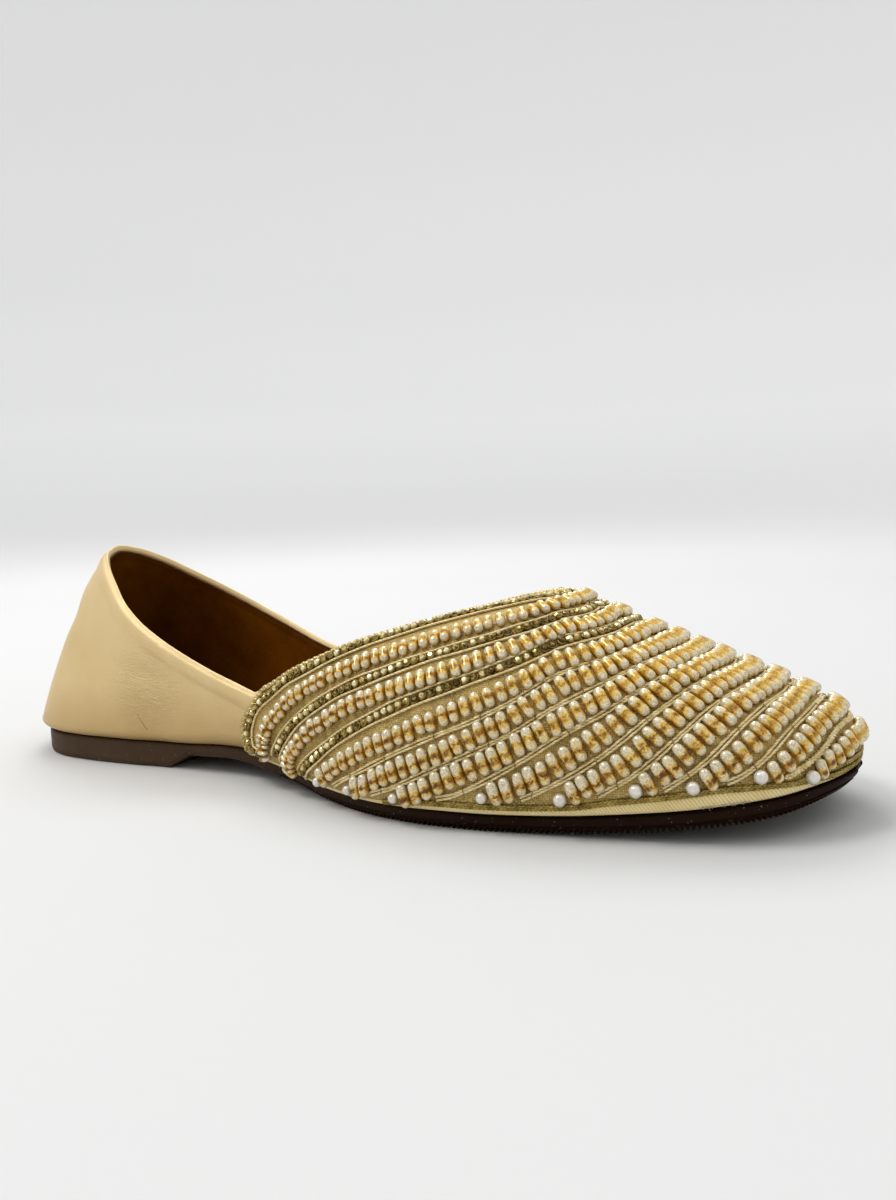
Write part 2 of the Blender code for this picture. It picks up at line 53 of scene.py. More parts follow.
# Driving sizes and the tables of the shape, the same as the part's
LENGTH = 0.2522
BALL_WIDTH = 0.0816
COLLAR_WIDTH = 0.0580
COLLAR_HEIGHT = 0.0638
INSTEP_HEIGHT = 0.0492
HEEL_HEIGHT = 0.0073
TOE_SPRING = 0.0080
TOE_SPRING_START = 0.174
TOE_UNDERCUT = 0.0024
TOE_SWING = 0.0030
UPPER_WALL = 0.0018
FEATHER_INSET = 0.0008
CLEARANCE = 0.0003
PANEL_THICKNESS = 0.0010
INSOLE_THICKNESS = 0.0025
INSOLE_CLEARANCE = 0.0005
FIRST_SOLE_TURN = 0.022
CLOTH_TOP = CLEARANCE + PANEL_THICKNESS

# Sizes of what only the scene has
ROLL_WIDTH = 0.0052
INNER_ROLL = 0.0003
FOLD_WIDTH = 0.0008
TOOTH_PITCH = 0.0013
TOOTH_HEIGHT = 0.0012
TOOTH_START, TOOTH_END = 0.42, 0.985
GROOVE_START, GROOVE_FADE, GROOVE_DEPTH = 0.45, 0.12, 0.0004
TUCK_START = 0.93
WEAVE_PITCH, RIB_PITCH = 0.0005, 0.00078
STONE_PITCH = 0.00215
# Thin beads close together at the foot of the first two rows
FOOT_DISCS, DISC_PITCH = 5, 0.00125
CORD_RADIUS = 0.00035
PAIR_OFFSET, STONE_CORD_OFFSET = 0.00038, 0.00158
TIE_SPACING = 0.0132
FRAY_TURNS, FRAY_HEIGHT = (0.782, 0.822), 0.070

OUTLINE = (
    # along, outer, inner
    (0.000, 0.000, 0.000),
    (0.016, 0.174, 0.174),
    (0.048, 0.291, 0.289),
    (0.071, 0.329, 0.326),
    (0.099, 0.350, 0.347),
    (0.139, 0.356, 0.352),
    (0.198, 0.348, 0.338),
    (0.258, 0.327, 0.316),
    (0.357, 0.315, 0.292),
    (0.444, 0.371, 0.319),
    (0.515, 0.456, 0.380),
    (0.595, 0.527, 0.444),
    (0.634, 0.537, 0.461),
    (0.674, 0.529, 0.471),
    (0.753, 0.489, 0.469),
    (0.825, 0.444, 0.451),
    (0.888, 0.395, 0.412),
    (0.944, 0.301, 0.338),
    (0.979, 0.158, 0.218),
    (1.000, -0.037, 0.037),
)
SOLE_SIDES = (
    # along, underside, top
    (0.000, 0.00, 1.00),
    (0.257, 0.00, 1.00),
    (0.287, 0.56, 1.02),
    (0.345, 0.62, 1.09),
    (0.377, 0.50, 1.06),
    (0.417, 0.36, 0.91),
    (0.456, 0.23, 0.78),
    (0.496, 0.10, 0.65),
    (0.536, 0.00, 0.56),
    (0.600, 0.00, 0.54),
    (0.900, 0.00, 0.56),
    (1.000, 0.00, 0.48),
)
SWELL = (
    # along, out, up
    (0.000, 0.026, 0.034),
    (0.250, 0.026, 0.040),
    (0.400, 0.030, 0.055),
    (0.520, 0.016, 0.055),
    (0.620, 0.002, 0.050),
    (0.800, -0.008, 0.046),
    (0.920, -0.016, 0.044),
    (1.000, -0.030, 0.044),
)
COLLAR = (
    # along, edge_along, edge_out, edge_height of COLLAR_HEIGHT, fullness
    (0.000, 0.090, 0.000, 1.000, 0.25),
    (0.016, 0.099, 0.128, 0.977, 0.25),
    (0.048, 0.122, 0.231, 0.923, 0.25),
    (0.099, 0.156, 0.329, 0.837, 0.25),
    (0.159, 0.196, 0.428, 0.735, 0.25),
    (0.218, 0.239, 0.483, 0.638, 0.25),
    (0.278, 0.284, 0.500, 0.549, 0.25),
    (0.337, 0.338, 0.497, 0.456, 0.25),
    (0.397, 0.397, 0.503, 0.379, 0.30),
)
THROAT = (
    # along, edge_along, edge_out, edge_height of INSTEP_HEIGHT, fullness
    (0.397, 0.397, 0.503, 0.492, 0.30),
    (0.428, 0.426, 0.505, 0.545, 0.35),
    (0.460, 0.456, 0.500, 0.630, 0.45),
    (0.496, 0.492, 0.479, 0.707, 0.50),
    (0.531, 0.527, 0.448, 0.775, 0.55),
    (0.571, 0.567, 0.403, 0.835, 0.60),
    (0.611, 0.606, 0.345, 0.890, 0.70),
    (0.650, 0.643, 0.276, 0.934, 0.80),
    (0.686, 0.676, 0.195, 0.968, 0.88),
    (0.722, 0.703, 0.100, 0.993, 0.95),
    (0.753, 0.716, 0.000, 1.000, 1.00),
)
RIDGE = (
    # along, edge_along, edge_out, edge_height of INSTEP_HEIGHT, fullness
    (0.753, 0.716, 0.000, 1.000, 1.00),
    (0.813, 0.769, 0.000, 0.880, 1.00),
    (0.864, 0.813, 0.000, 0.790, 1.00),
    (0.912, 0.852, 0.000, 0.711, 1.00),
    (0.952, 0.888, 0.000, 0.642, 1.00),
    (0.983, 0.916, 0.000, 0.591, 1.00),
    (1.000, 0.936, 0.000, 0.558, 1.00),
)
# The rows of beads, set to the photograph, so they lie up to 1 to 3 mm beside the part's ribs.
RIDGE_STRINGS = (
    # kind, along, height, lead, rise, middle, middle_height, approach, end_along
    ("pearl", 0.425, 0.150, 0.000, 1.21, 0.68, 0.53, 0.88, 0.777),
    ("stone", 0.443, 0.120, 0.032, 1.03, 0.70, 0.485, 0.78, 0.790),
    ("pearl", 0.469, 0.135, 0.036, 0.89, 0.75, 0.33, 0.82, 0.806),
    ("stone", 0.485, 0.082, 0.078, 0.89, 0.79, 0.17, 1.00, 0.825),
    ("pearl", 0.514, 0.092, 0.080, 0.65, 0.65, 0.17, 0.935, 0.847),
    ("pearl", 0.559, 0.102, 0.088, 0.47, 0.54, 0.17, 0.97, 0.877),
    ("pearl", 0.614, 0.108, 0.078, 0.40, 0.42, 0.10, 1.00, 0.906),
    ("pearl", 0.701, 0.163, 0.089, 0.30, 0.42, 0.42, 0.98, 0.931),
    ("pearl", 0.771, 0.165, 0.085, 0.34, 0.29, 0.455, 0.975, 0.960),
    ("pearl", 0.835, 0.190, 0.056, 0.326, 0.32, 0.57, 1.00, 0.986),
)
TOE_STRINGS = (
    # kind, along, height, lead, rise, middle, middle_height, approach, end_height
    ("pearl", 0.881, 0.192, 0.065, 0.35, 0.22, 0.455, 0.93, 0.880),
    ("pearl", 0.931, 0.209, 0.043, 0.185, 0.25, 0.58, 1.00, 0.612),
    ("pearl", 0.966, 0.143, 0.085, 0.35, 0.71, 0.28, 0.92, 0.305),
)
EDGE_STRING = (
    # along, height
    (0.4170, 0.102),
    (0.4060, 0.113),
    (0.4000, 0.150),
    (0.3975, 0.220),
    (0.3980, 0.340),
    (0.4030, 0.560),
    (0.4160, 0.790),
    (0.4400, 0.900),
    (0.4720, 0.932),
    (0.5100, 0.950),
    (0.5810, 0.967),
    (0.6590, 0.972),
    (0.7150, 0.971),
    (0.7450, 0.962),
    (0.7650, 1.000),
)
# The braid along the foot of the embroidered cloth, and the bare twill below it.
BRAID = (
    # along, height
    (0.600, 0.060),
    (0.651, 0.100),
    (0.718, 0.105),
    (0.779, 0.115),
    (0.815, 0.145),
    (0.872, 0.165),
    (0.902, 0.170),
    (0.932, 0.158),
    (0.960, 0.122),
    (0.985, 0.085),
    (1.000, 0.090),
)

OUTER, INNER = -1, 1
FOOT_SHARE = 0.16
LOW_PLAN, HIGH_PLAN = 1 / 3, 2 / 3
PLAN_PULL, LOW_LIFT, HIGH_LIFT = 0.22, 0.22, 1 / 3
FOOT_BEND, FOOT_HOLD = (0.6, 0.6, 0.2), 0.4


def unit(vectors):
    return vectors / np.linalg.norm(vectors, axis=-1, keepdims=True)


def travelled(route):
    """How far along a route each of its points lies."""
    return np.concatenate([[0], np.cumsum(np.linalg.norm(np.diff(route, axis=0), axis=1))])


# ---- The skin, worked out as the part does ----


def share_to_turn(along):
    return np.arccos(1 - 2 * np.clip(along, 0, 1)) / math.pi


def turn_to_share(turn):
    return (1 - np.cos(math.pi * np.asarray(turn, float))) / 2


def smooth(places, values, at, level=()):
    """Monotone cubic through the rows of a table. Level names the end rows where the curve is level."""
    places = np.asarray(places, float)
    values = np.asarray(values, float)
    steps = np.diff(places)
    slopes = np.diff(values) / steps
    inner = np.zeros(len(places))
    same = slopes[:-1] * slopes[1:] > 0
    weight_low = 2 * steps[1:] + steps[:-1]
    weight_high = steps[1:] + 2 * steps[:-1]
    safe_low = np.where(same, slopes[:-1], 1)
    safe_high = np.where(same, slopes[1:], 1)
    mean = (weight_low + weight_high) / (weight_low / safe_low + weight_high / safe_high)
    inner[1:-1] = np.where(same, mean, 0)
    inner[0] = slopes[0]
    inner[-1] = slopes[-1]
    inner[list(level)] = 0
    at = np.asarray(at, float)
    k = np.clip(np.searchsorted(places, at) - 1, 0, len(steps) - 1)
    t = (at - places[k]) / steps[k]
    return (
        values[k] * (1 + 2 * t) * (1 - t) ** 2
        + inner[k] * steps[k] * t * (1 - t) ** 2
        + values[k + 1] * t**2 * (3 - 2 * t)
        - inner[k + 1] * steps[k] * t**2 * (1 - t)
    )


def column(table, index, turn, level=()):
    rows = np.array(table)
    return smooth(share_to_turn(rows[:, 0]), rows[:, index], turn, level)


def sole_heights(along):
    rows = np.array(SOLE_SIDES)
    low = HEEL_HEIGHT * np.interp(along, rows[:, 0], rows[:, 1])
    high = HEEL_HEIGHT * smooth(rows[:, 0], rows[:, 2], along)
    rise = np.clip((along * LENGTH - TOE_SPRING_START) / (LENGTH - TOE_SPRING_START), 0, None)
    return low + TOE_SPRING * rise**2, high + TOE_SPRING * rise**2


def outline_point(turn, side):
    half = column(OUTLINE, 1 if side == OUTER else 2, turn) * BALL_WIDTH
    return np.stack([LENGTH * turn_to_share(turn), side * half], axis=-1)


def outline(turn, side, out=0.0):
    turn = np.asarray(turn, float)
    step = 0.002
    ahead, behind = np.clip(turn + step, 0, 1), np.clip(turn - step, 0, 1)
    tangent = unit(outline_point(ahead, side) - outline_point(behind, side))
    outward = side * np.stack([-tangent[..., 1], tangent[..., 0]], axis=-1)
    return outline_point(turn, side) + outward * np.asarray(out)[..., None]


def top_edge(turn, side):
    """Point on the collar, throat or ridge above this station, and the fullness of the wall below it."""
    turn = np.asarray(turn, float)
    found = np.zeros(turn.shape + (4,))
    runs = (COLLAR, COLLAR_HEIGHT, (0,)), (THROAT, INSTEP_HEIGHT, (-1,)), (RIDGE, INSTEP_HEIGHT, (0,))
    ridge_start = THROAT[-1][1] * LENGTH
    for table, height, middle in runs:
        first, last = share_to_turn(table[0][0]), share_to_turn(table[-1][0])
        here = (turn >= first - 1e-9) & (turn <= last + 1e-9)
        at = np.clip(turn, first, last)
        x = column(table, 1, at, middle) * LENGTH
        part = np.clip((x - ridge_start) / (LENGTH - ridge_start), 0, 1)
        y = side * column(table, 2, at) * COLLAR_WIDTH + TOE_SWING * part**2
        row = np.stack([x, y, column(table, 3, at, middle) * height, column(table, 4, at)], axis=-1)
        found[here] = row[here]
    return found[..., :3], found[..., 3]


def ridge_slope(x):
    """Slope of the ridge line at this x. It grows from nothing along the front half of the throat."""
    rows = np.array(RIDGE)
    step = 0.0005
    places, heights = rows[:, 1] * LENGTH, rows[:, 3] * INSTEP_HEIGHT
    at = np.clip(x, places[0] + step, None)
    slope = (smooth(places, heights, at + step) - smooth(places, heights, at - step)) / (2 * step)
    start = THROAT[0][1] * LENGTH / 2 + places[0] / 2
    part = np.clip((x - start) / (places[0] - start), 0, 1)
    return slope * part**2 * (3 - 2 * part)


def bezier(a, b, c, d, t):
    t = t[..., None]
    return a * (1 - t) ** 3 + 3 * b * t * (1 - t) ** 2 + 3 * c * t**2 * (1 - t) + d * t**3


def skin(turn, height, side):
    """Point on the upper's outer skin. Height runs from 0 at the sole to 1 at the top edge or the ridge."""
    turn = np.asarray(turn, float)
    height = np.asarray(height, float)
    out = column(SWELL, 1, turn) * BALL_WIDTH
    up = column(SWELL, 2, turn) * BALL_WIDTH
    inset = FEATHER_INSET + np.clip(-out, 0, None)
    floor = sole_heights(turn_to_share(turn))[1] + CLEARANCE
    feather = np.concatenate([outline(turn, side, -inset), floor[..., None]], axis=-1)
    belly = np.concatenate([outline(turn, side, out), (floor + up)[..., None]], axis=-1)
    edge, fullness = top_edge(turn, side)
    rise = edge - belly
    plan, lift = LOW_PLAN * (1 - fullness), LOW_PLAN + LOW_LIFT * fullness
    start = belly + rise * np.stack([plan, plan, lift], axis=-1)
    plan, lift = HIGH_PLAN - PLAN_PULL * fullness, HIGH_PLAN + HIGH_LIFT * fullness
    end = belly + rise * np.stack([plan, plan, lift], axis=-1)
    end[..., 2] += ridge_slope(edge[..., 0]) * (end[..., 0] - edge[..., 0])
    low_a = feather + (belly - feather) * FOOT_BEND
    low_b = belly - (start - belly) * (up * FOOT_HOLD / np.maximum(start - belly, 1e-6)[..., 2])[..., None]
    foot = bezier(feather, low_a, low_b, belly, np.clip(height / FOOT_SHARE, 0, 1))
    wall = bezier(belly, start, end, edge, np.clip((height - FOOT_SHARE) / (1 - FOOT_SHARE), 0, 1))
    return np.where((height < FOOT_SHARE)[..., None], foot, wall)


def skin_normal(turn, height, side):
    step = 0.001
    along = skin(np.clip(turn + step, 0, 1), height, side) - skin(np.clip(turn - step, 0, 1), height, side)
    up = skin(turn, np.clip(height + step, 0, 1), side) - skin(turn, np.clip(height - step, 0, 1), side)
    return unit(np.cross(along, up) * -side)


# ---- Rows of beads as paths on the skin ----


def blend_points(points, t):
    points = np.array(points, float)
    order = len(points) - 1
    t = np.asarray(t)[:, None]
    return sum(math.comb(order, k) * t**k * (1 - t) ** (order - k) * p for k, p in enumerate(points))


def ridge_string(row, t):
    _, along, height, lead, rise, middle, middle_height, approach, end_along = row
    start, end = share_to_turn(along), share_to_turn(end_along)
    halfway = start + (end - start) * middle
    points = [(start, height), (start + lead, rise), (halfway, middle_height), (end, approach), (end, 1)]
    return blend_points(points, t)


def toe_string(row, t):
    _, along, height, lead, rise, middle, middle_height, approach, end_height = row
    start = share_to_turn(along)
    halfway = start + (1 - start) * middle
    last = [(approach, end_height), (1, end_height)]
    return blend_points([(start, height), (start + lead, rise), (halfway, middle_height), *last], t)


def table_path(table, t):
    rows = np.array(table)
    places = np.arange(len(rows))
    at = np.asarray(t) * places[-1]
    return np.stack([smooth(places, share_to_turn(rows[:, 0]), at), smooth(places, rows[:, 1], at)], axis=-1)


def string_paths():
    """Name, kind and path function of each row, from the throat to the toe."""
    runs = [("stone", lambda t: table_path(EDGE_STRING, t))]
    runs += [(row[0], lambda t, row=row: ridge_string(row, t)) for row in RIDGE_STRINGS]
    runs += [(row[0], lambda t, row=row: toe_string(row, t)) for row in TOE_STRINGS]
    made = {"pearl": 0, "stone": 0}
    named = []
    for kind, path in runs:
        made[kind] += 1
        named.append((f"{kind}_string_{made[kind]:02d}", kind, path))
    return named


def sample_path(path, at, side):
    """Positions and normals of the skin under a path."""
    turn, height = np.clip(path(at), [0, 0.002], [1, 1]).T
    return skin(turn, height, side), skin_normal(turn, height, side)


def path_travel(path, side, start=0.0):
    """Places along a path, and how far along the skin each lies."""
    fine = np.linspace(start, 1, 500)
    return fine, travelled(sample_path(path, fine, side)[0])


def path_length(path, side=OUTER, start=0.0):
    return path_travel(path, side, start)[1][-1]


def at_travel(path, side, places, start=0.0):
    """Positions, normals and headings at the given distances along a path on one side."""
    fine, travel = path_travel(path, side, start)
    at = np.interp(places, travel, fine)
    position, normal = sample_path(path, at, side)
    step = 0.004
    ahead = sample_path(path, np.clip(at + step, start, 1), side)[0]
    behind = sample_path(path, np.clip(at - step, start, 1), side)[0]
    return position, normal, unit(ahead - behind)


# ---- Mesh helpers ----

SOLE_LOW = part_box("outsole")[0]
OFFSET = np.array(
    [
        SOLE_LOW.x - LENGTH * turn_to_share(FIRST_SOLE_TURN),
        SOLE_LOW.y + max(row[1] for row in OUTLINE) * BALL_WIDTH,
        SOLE_LOW.z,
    ]
)


def piece(
    name, points, faces, materials, face_material=None, uv=None, replaces=(), slot=None, flat=False, tags=None
):
    """One named piece that rides on the shoe. Faces is a list of index arrays, uv a row for each point."""
    mesh = bpy.data.meshes.new(name)
    sizes = np.concatenate([np.full(len(block), block.shape[1]) for block in faces])
    loops = np.concatenate([block.reshape(-1) for block in faces]).astype(np.int32)
    mesh.vertices.add(len(points))
    mesh.vertices.foreach_set("co", (points + OFFSET).astype(np.float32).reshape(-1))
    mesh.loops.add(len(loops))
    mesh.loops.foreach_set("vertex_index", loops)
    mesh.polygons.add(len(sizes))
    mesh.polygons.foreach_set("loop_start", np.concatenate([[0], np.cumsum(sizes)[:-1]]).astype(np.int32))
    if uv is not None:
        layer = mesh.uv_layers.new(name="surface")
        layer.data.foreach_set("uv", uv[loops].astype(np.float32).reshape(-1))
    for material in materials:
        mesh.materials.append(material)
    if face_material is not None:
        mesh.polygons.foreach_set("material_index", face_material.astype(np.int32))
    for tag, values in (tags or {}).items():
        mesh.attributes.new(tag, "FLOAT", "POINT").data.foreach_set("value", values.astype(np.float32))
    mesh.update()
    mesh.validate()
    mesh.polygons.foreach_set("use_smooth", np.full(len(mesh.polygons), not flat))
    obj = bpy.data.objects.new(name, mesh)
    bpy.context.collection.objects.link(obj)
    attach(obj, "root")
    if replaces:
        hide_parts(*replaces)
    return obj


def grid_quads(columns, rows, closed=False):
    i, k = np.meshgrid(np.arange(columns if closed else columns - 1), np.arange(rows - 1), indexing="ij")
    j = (i + 1) % columns
    corners = [i * rows + k, j * rows + k, j * rows + k + 1, i * rows + k + 1]
    return np.stack([c.reshape(-1) for c in corners], axis=1)


def tube_quads(rings, around):
    """Quads between rings of points, each closed on itself."""
    i, k = np.meshgrid(np.arange(rings - 1), np.arange(around), indexing="ij")
    m = (k + 1) % around
    corners = [i * around + k, i * around + m, (i + 1) * around + m, (i + 1) * around + k]
    return np.stack([c.reshape(-1) for c in corners], axis=1)


def tube_copies(rings, around, count):
    """Quads, low caps and high caps of many bodies made of rings."""
    base = np.arange(count)[:, None] * rings * around
    quads = (tube_quads(rings, around)[None] + base[:, None]).reshape(-1, 4)
    return quads, np.arange(around)[::-1] + base, np.arange((rings - 1) * around, rings * around) + base


def round_toe(outer, inner):
    """The outer side's rows up to the last, halfway between the sides, and then the inner side's back."""
    outer[-1] = (outer[-1] + inner[-1]) / 2
    return np.concatenate([outer, inner[-2::-1]])


def both_sides(measure, turns, heights):
    """The skin or its normals from the outer side round the toe to the inner side."""
    return round_toe(measure(turns, heights, OUTER), measure(turns, heights, INNER))


def merge(points, faces, extras):
    """Points that lie together made one, and the faces that collapse there made triangles or dropped."""
    keys = np.round(points / 2e-6).astype(np.int64)
    _, first, index = np.unique(keys, axis=0, return_index=True, return_inverse=True)
    faces = index.reshape(-1)[faces]
    doubled = faces == np.roll(faces, -1, axis=1)
    quads = faces[~doubled.any(axis=1)]
    slim = faces[doubled.sum(axis=1) == 1]
    which = doubled[doubled.sum(axis=1) == 1]
    triangles = slim[~which].reshape(-1, 3) if len(slim) else np.zeros((0, 3), int)
    return points[first], [quads, triangles], [values[first] for values in extras]


def surface_normals(points, blocks):
    normals = np.zeros_like(points)
    for faces in blocks:
        if not len(faces):
            continue
        ring = points[faces]
        square = np.cross(ring[:, 2] - ring[:, 0], ring[:, -1] - ring[:, 1])
        for k in range(faces.shape[1]):
            np.add.at(normals, faces[:, k], square)
    return normals / np.maximum(np.linalg.norm(normals, axis=1, keepdims=True), 1e-12)


def border_edges(blocks):
    seen = set()
    for faces in blocks:
        for k in range(faces.shape[1]):
            seen.update(zip(faces[:, k].tolist(), faces[:, (k + 1) % faces.shape[1]].tolist()))
    return np.array([edge for edge in seen if (edge[1], edge[0]) not in seen])


def thick_sheet(
    name, points, faces, low, high, uv, materials, rim_lift,
    rim_rows=3, flat_foot=None, inside_look=None, **rest,
):
    """A closed sheet between two offsets of a surface, with a rounded rim. Material 1 is the inside's."""
    foot = np.zeros(len(points)) if flat_foot is None else flat_foot
    order = np.arange(len(points))
    extras = low, high, uv, rim_lift, foot, order
    points, blocks, (low, high, uv, rim_lift, foot, order) = merge(points, faces, extras)
    normals = surface_normals(points, blocks)
    level = foot > 0.5
    normals[level, 2] = 0
    normals = unit(normals)
    outside = points + normals * high[:, None]
    inside = points + normals * low[:, None]
    count = len(points)
    borders = border_edges(blocks)
    ends = np.unique(borders)
    layers = [outside, inside]
    for k in range(1, rim_rows + 1):
        part = k / (rim_rows + 1)
        lift = np.sin(math.pi * part) * rim_lift[ends]
        layers.append(outside[ends] * (1 - part) + inside[ends] * part + [0, 0, 1] * lift[:, None])
    spot = np.searchsorted(ends, borders)
    rings = [borders] + [2 * count + k * len(ends) + spot for k in range(rim_rows)] + [borders + count]
    rim = [np.stack([o[:, 1], o[:, 0], i[:, 0], i[:, 1]], axis=1) for o, i in zip(rings, rings[1:])]
    rim = np.concatenate(rim)
    everything = np.concatenate(layers)
    uv_all = np.concatenate([uv, uv] + [uv[ends]] * rim_rows)
    out_blocks = [f for f in blocks if len(f)]
    in_blocks = [f[:, ::-1] + count for f in out_blocks]
    inside = [np.zeros(len(f)) if inside_look is None else inside_look(order[f]) for f in out_blocks]
    face_material = np.concatenate([np.zeros(len(f)) for f in out_blocks] + inside + [np.zeros(len(rim))])
    return piece(name, everything, out_blocks + in_blocks + [rim], materials, face_material, uv_all, **rest)


def sweep(route, normal, section, turns_along):
    """Points, quads and map of a section swept along a route. The section is angles and radii in metres."""
    heading = unit(np.gradient(route, axis=0))
    across = unit(np.cross(normal, heading))
    square = np.cross(heading, across)
    travel = travelled(route)
    angles, radii = section
    spin = 2 * math.pi * travel * turns_along
    theta = angles[None, :] + spin[:, None]
    points = (
        route[:, None]
        + across[:, None] * (radii * np.cos(theta))[..., None]
        + square[:, None] * (radii * np.sin(theta))[..., None]
    )
    count = len(angles)
    uv = np.stack([np.repeat(travel, count), np.tile(np.arange(count) / count, len(route))], axis=1)
    return points.reshape(-1, 3), tube_quads(len(route), count), uv


def joined_piece(name, parts, material, slot="vamp_panel"):
    """Several sweeps as one piece."""
    points, faces, uvs = zip(*parts)
    starts = np.cumsum([0] + [len(block) for block in points[:-1]])
    faces = np.concatenate([block + start for block, start in zip(faces, starts)])
    piece(name, np.concatenate(points), [faces], [material], uv=np.concatenate(uvs), slot=slot)


def round_section(radius, count):
    angles = np.linspace(0, 2 * math.pi, count, endpoint=False)
    return angles, np.full(count, radius)


def lobed_section(radius, lobes, count, depth):
    angles = np.linspace(0, 2 * math.pi, count, endpoint=False)
    return angles, radius * (1 - depth + depth * np.abs(np.cos(angles * lobes / 2)))


def loft(name, rings, materials, sharp=None, **rest):
    """A closed body through rings of the same number of corners."""
    stations, count = rings.shape[:2]
    quads = tube_quads(stations, count)[:, [0, 3, 2, 1]]
    caps = np.array([np.arange(count), np.arange(stations * count - 1, (stations - 1) * count - 1, -1)])
    points = rings.reshape(-1, 3)
    uv = np.stack([points[:, 0], points[:, 2]], axis=1)
    obj = piece(name, points, [quads, caps], materials, uv=uv, **rest)
    if sharp:
        obj.data.set_sharp_from_angle(angle=math.radians(sharp))


# ---- Materials ----


class Value:
    """An output of a node. Sums, products and the like add Math nodes after it."""

    def __init__(self, look, socket):
        self.look, self.socket = look, socket

    def __add__(self, other):
        return self.look.math("ADD", self, other)

    def __sub__(self, other):
        return self.look.math("SUBTRACT", self, other)

    def __rsub__(self, other):
        return self.look.math("SUBTRACT", other, self)

    def __mul__(self, other):
        return self.look.math("MULTIPLY", self, other)

    def __truediv__(self, other):
        return self.look.math("DIVIDE", self, other)

    def __abs__(self):
        return self.look.math("ABSOLUTE", self)

    def sine(self):
        return self.look.math("SINE", self)

    def clamped(self):
        """The same Math node, now kept from 0 to 1."""
        self.socket.node.use_clamp = True
        return self


class Look:
    """A material, with the nodes that work out its colour, gloss and relief."""

    def __init__(self, name, **settings):
        self.material = bpy.data.materials.new(name)
        self.material.use_nodes = True
        self.tree = self.material.node_tree
        self.shader = self.tree.nodes["Principled BSDF"]
        for socket, value in settings.items():
            self.shader.inputs[socket.replace("_", " ")].default_value = value
        self.coords = self.node("ShaderNodeTexCoord", output="Object")

    def node(self, kind, inputs=(), output=0, **settings):
        """One output of a new node. Inputs is a mapping of socket to a Value, or to what it is set to."""
        made = self.tree.nodes.new(kind)
        for key, value in settings.items():
            setattr(made, key, value)
        for key, value in dict(inputs).items():
            if isinstance(value, Value):
                self.tree.links.new(value.socket, made.inputs[key])
            else:
                made.inputs[key].default_value = value
        return Value(self, made.outputs[output])

    def math(self, operation, a, b=0.0):
        return self.node("ShaderNodeMath", {0: a, 1: b}, operation=operation)

    def vector(self, operation, a, b=(0.0, 0.0, 0.0), output="Value"):
        return self.node("ShaderNodeVectorMath", {0: a, 1: b}, output, operation=operation)

    def part(self, vector, axis):
        return self.node("ShaderNodeSeparateXYZ", {0: vector}, axis)

    def surface(self):
        """The piece's own map, in metres along and up its surface."""
        uv = self.node("ShaderNodeTexCoord", output="UV")
        return self.part(uv, 0), self.part(uv, 1)

    def tag(self, name):
        return self.node("ShaderNodeAttribute", output="Fac", attribute_name=name)

    def noise(self, scale, detail=3.0, rough=0.55, twist=0.0, seed=None, coords=None):
        inputs = {"Vector": coords or self.coords, "Scale": scale, "Detail": detail}
        inputs |= {"Roughness": rough, "Distortion": twist}
        if seed is None:
            return self.node("ShaderNodeTexNoise", inputs, "Fac")
        return self.node("ShaderNodeTexNoise", inputs | {"W": seed}, "Fac", noise_dimensions="4D")

    def cells(self, scale, feature="F1"):
        inputs = {"Vector": self.coords, "Scale": scale}
        return self.node("ShaderNodeTexVoronoi", inputs, "Distance", feature=feature)

    def stretched(self, scale, turn=0.0):
        inputs = {"Vector": self.coords, "Rotation": (0.0, turn, 0.0), "Scale": scale}
        return self.node("ShaderNodeMapping", inputs)

    def ramp(self, factor, *stops):
        made = self.node("ShaderNodeValToRGB", {"Fac": factor})
        ends = made.socket.node.color_ramp.elements
        while len(ends) < len(stops):
            ends.new(0.5)
        for end, (place, colour) in zip(ends, stops):
            end.position = place
            end.color = (*colour, 1.0) if isinstance(colour, tuple) else (colour, colour, colour, 1.0)
        return made

    def mix(self, factor, a, b):
        a, b = ((*c, 1.0) if isinstance(c, tuple) else c for c in (a, b))
        return self.node("ShaderNodeMix", {0: factor, 6: a, 7: b}, 2, data_type="RGBA")

    def near(self, place, reach):
        """1 at a place in shoe coordinates, in metres, falling to 0 at reach."""
        away = self.vector("DISTANCE", self.coords, tuple(np.array(place) + OFFSET))
        return (1.0 - away / reach).clamped()

    def near_line(self, start, end, reach):
        """1 on the line between two places in shoe coordinates, in metres, falling to 0 at reach."""
        start, end = np.array(start) + OFFSET, np.array(end) + OFFSET
        line = end - start
        from_start = self.vector("SUBTRACT", self.coords, tuple(start), 0)
        along = (self.vector("DOT_PRODUCT", from_start, tuple(line / (line @ line))) + 0.0).clamped()
        foot = self.node("ShaderNodeVectorMath", {0: tuple(line), "Scale": along}, operation="SCALE")
        return (1.0 - self.vector("DISTANCE", from_start, foot) / reach).clamped()

    def finish(self, colour, *relief, roughness=None):
        """The finished material. Each relief is a height, its distance in metres and its strength."""
        links = self.tree.links
        links.new(colour.socket, self.shader.inputs["Base Color"])
        if roughness:
            links.new(roughness.socket, self.shader.inputs["Roughness"])
        normal = {}
        for height, distance, strength in relief:
            inputs = {"Height": height, "Distance": distance, "Strength": strength} | normal
            normal = {"Normal": self.node("ShaderNodeBump", inputs, "Normal")}
        if relief:
            links.new(normal["Normal"].socket, self.shader.inputs["Normal"])
        return self.material


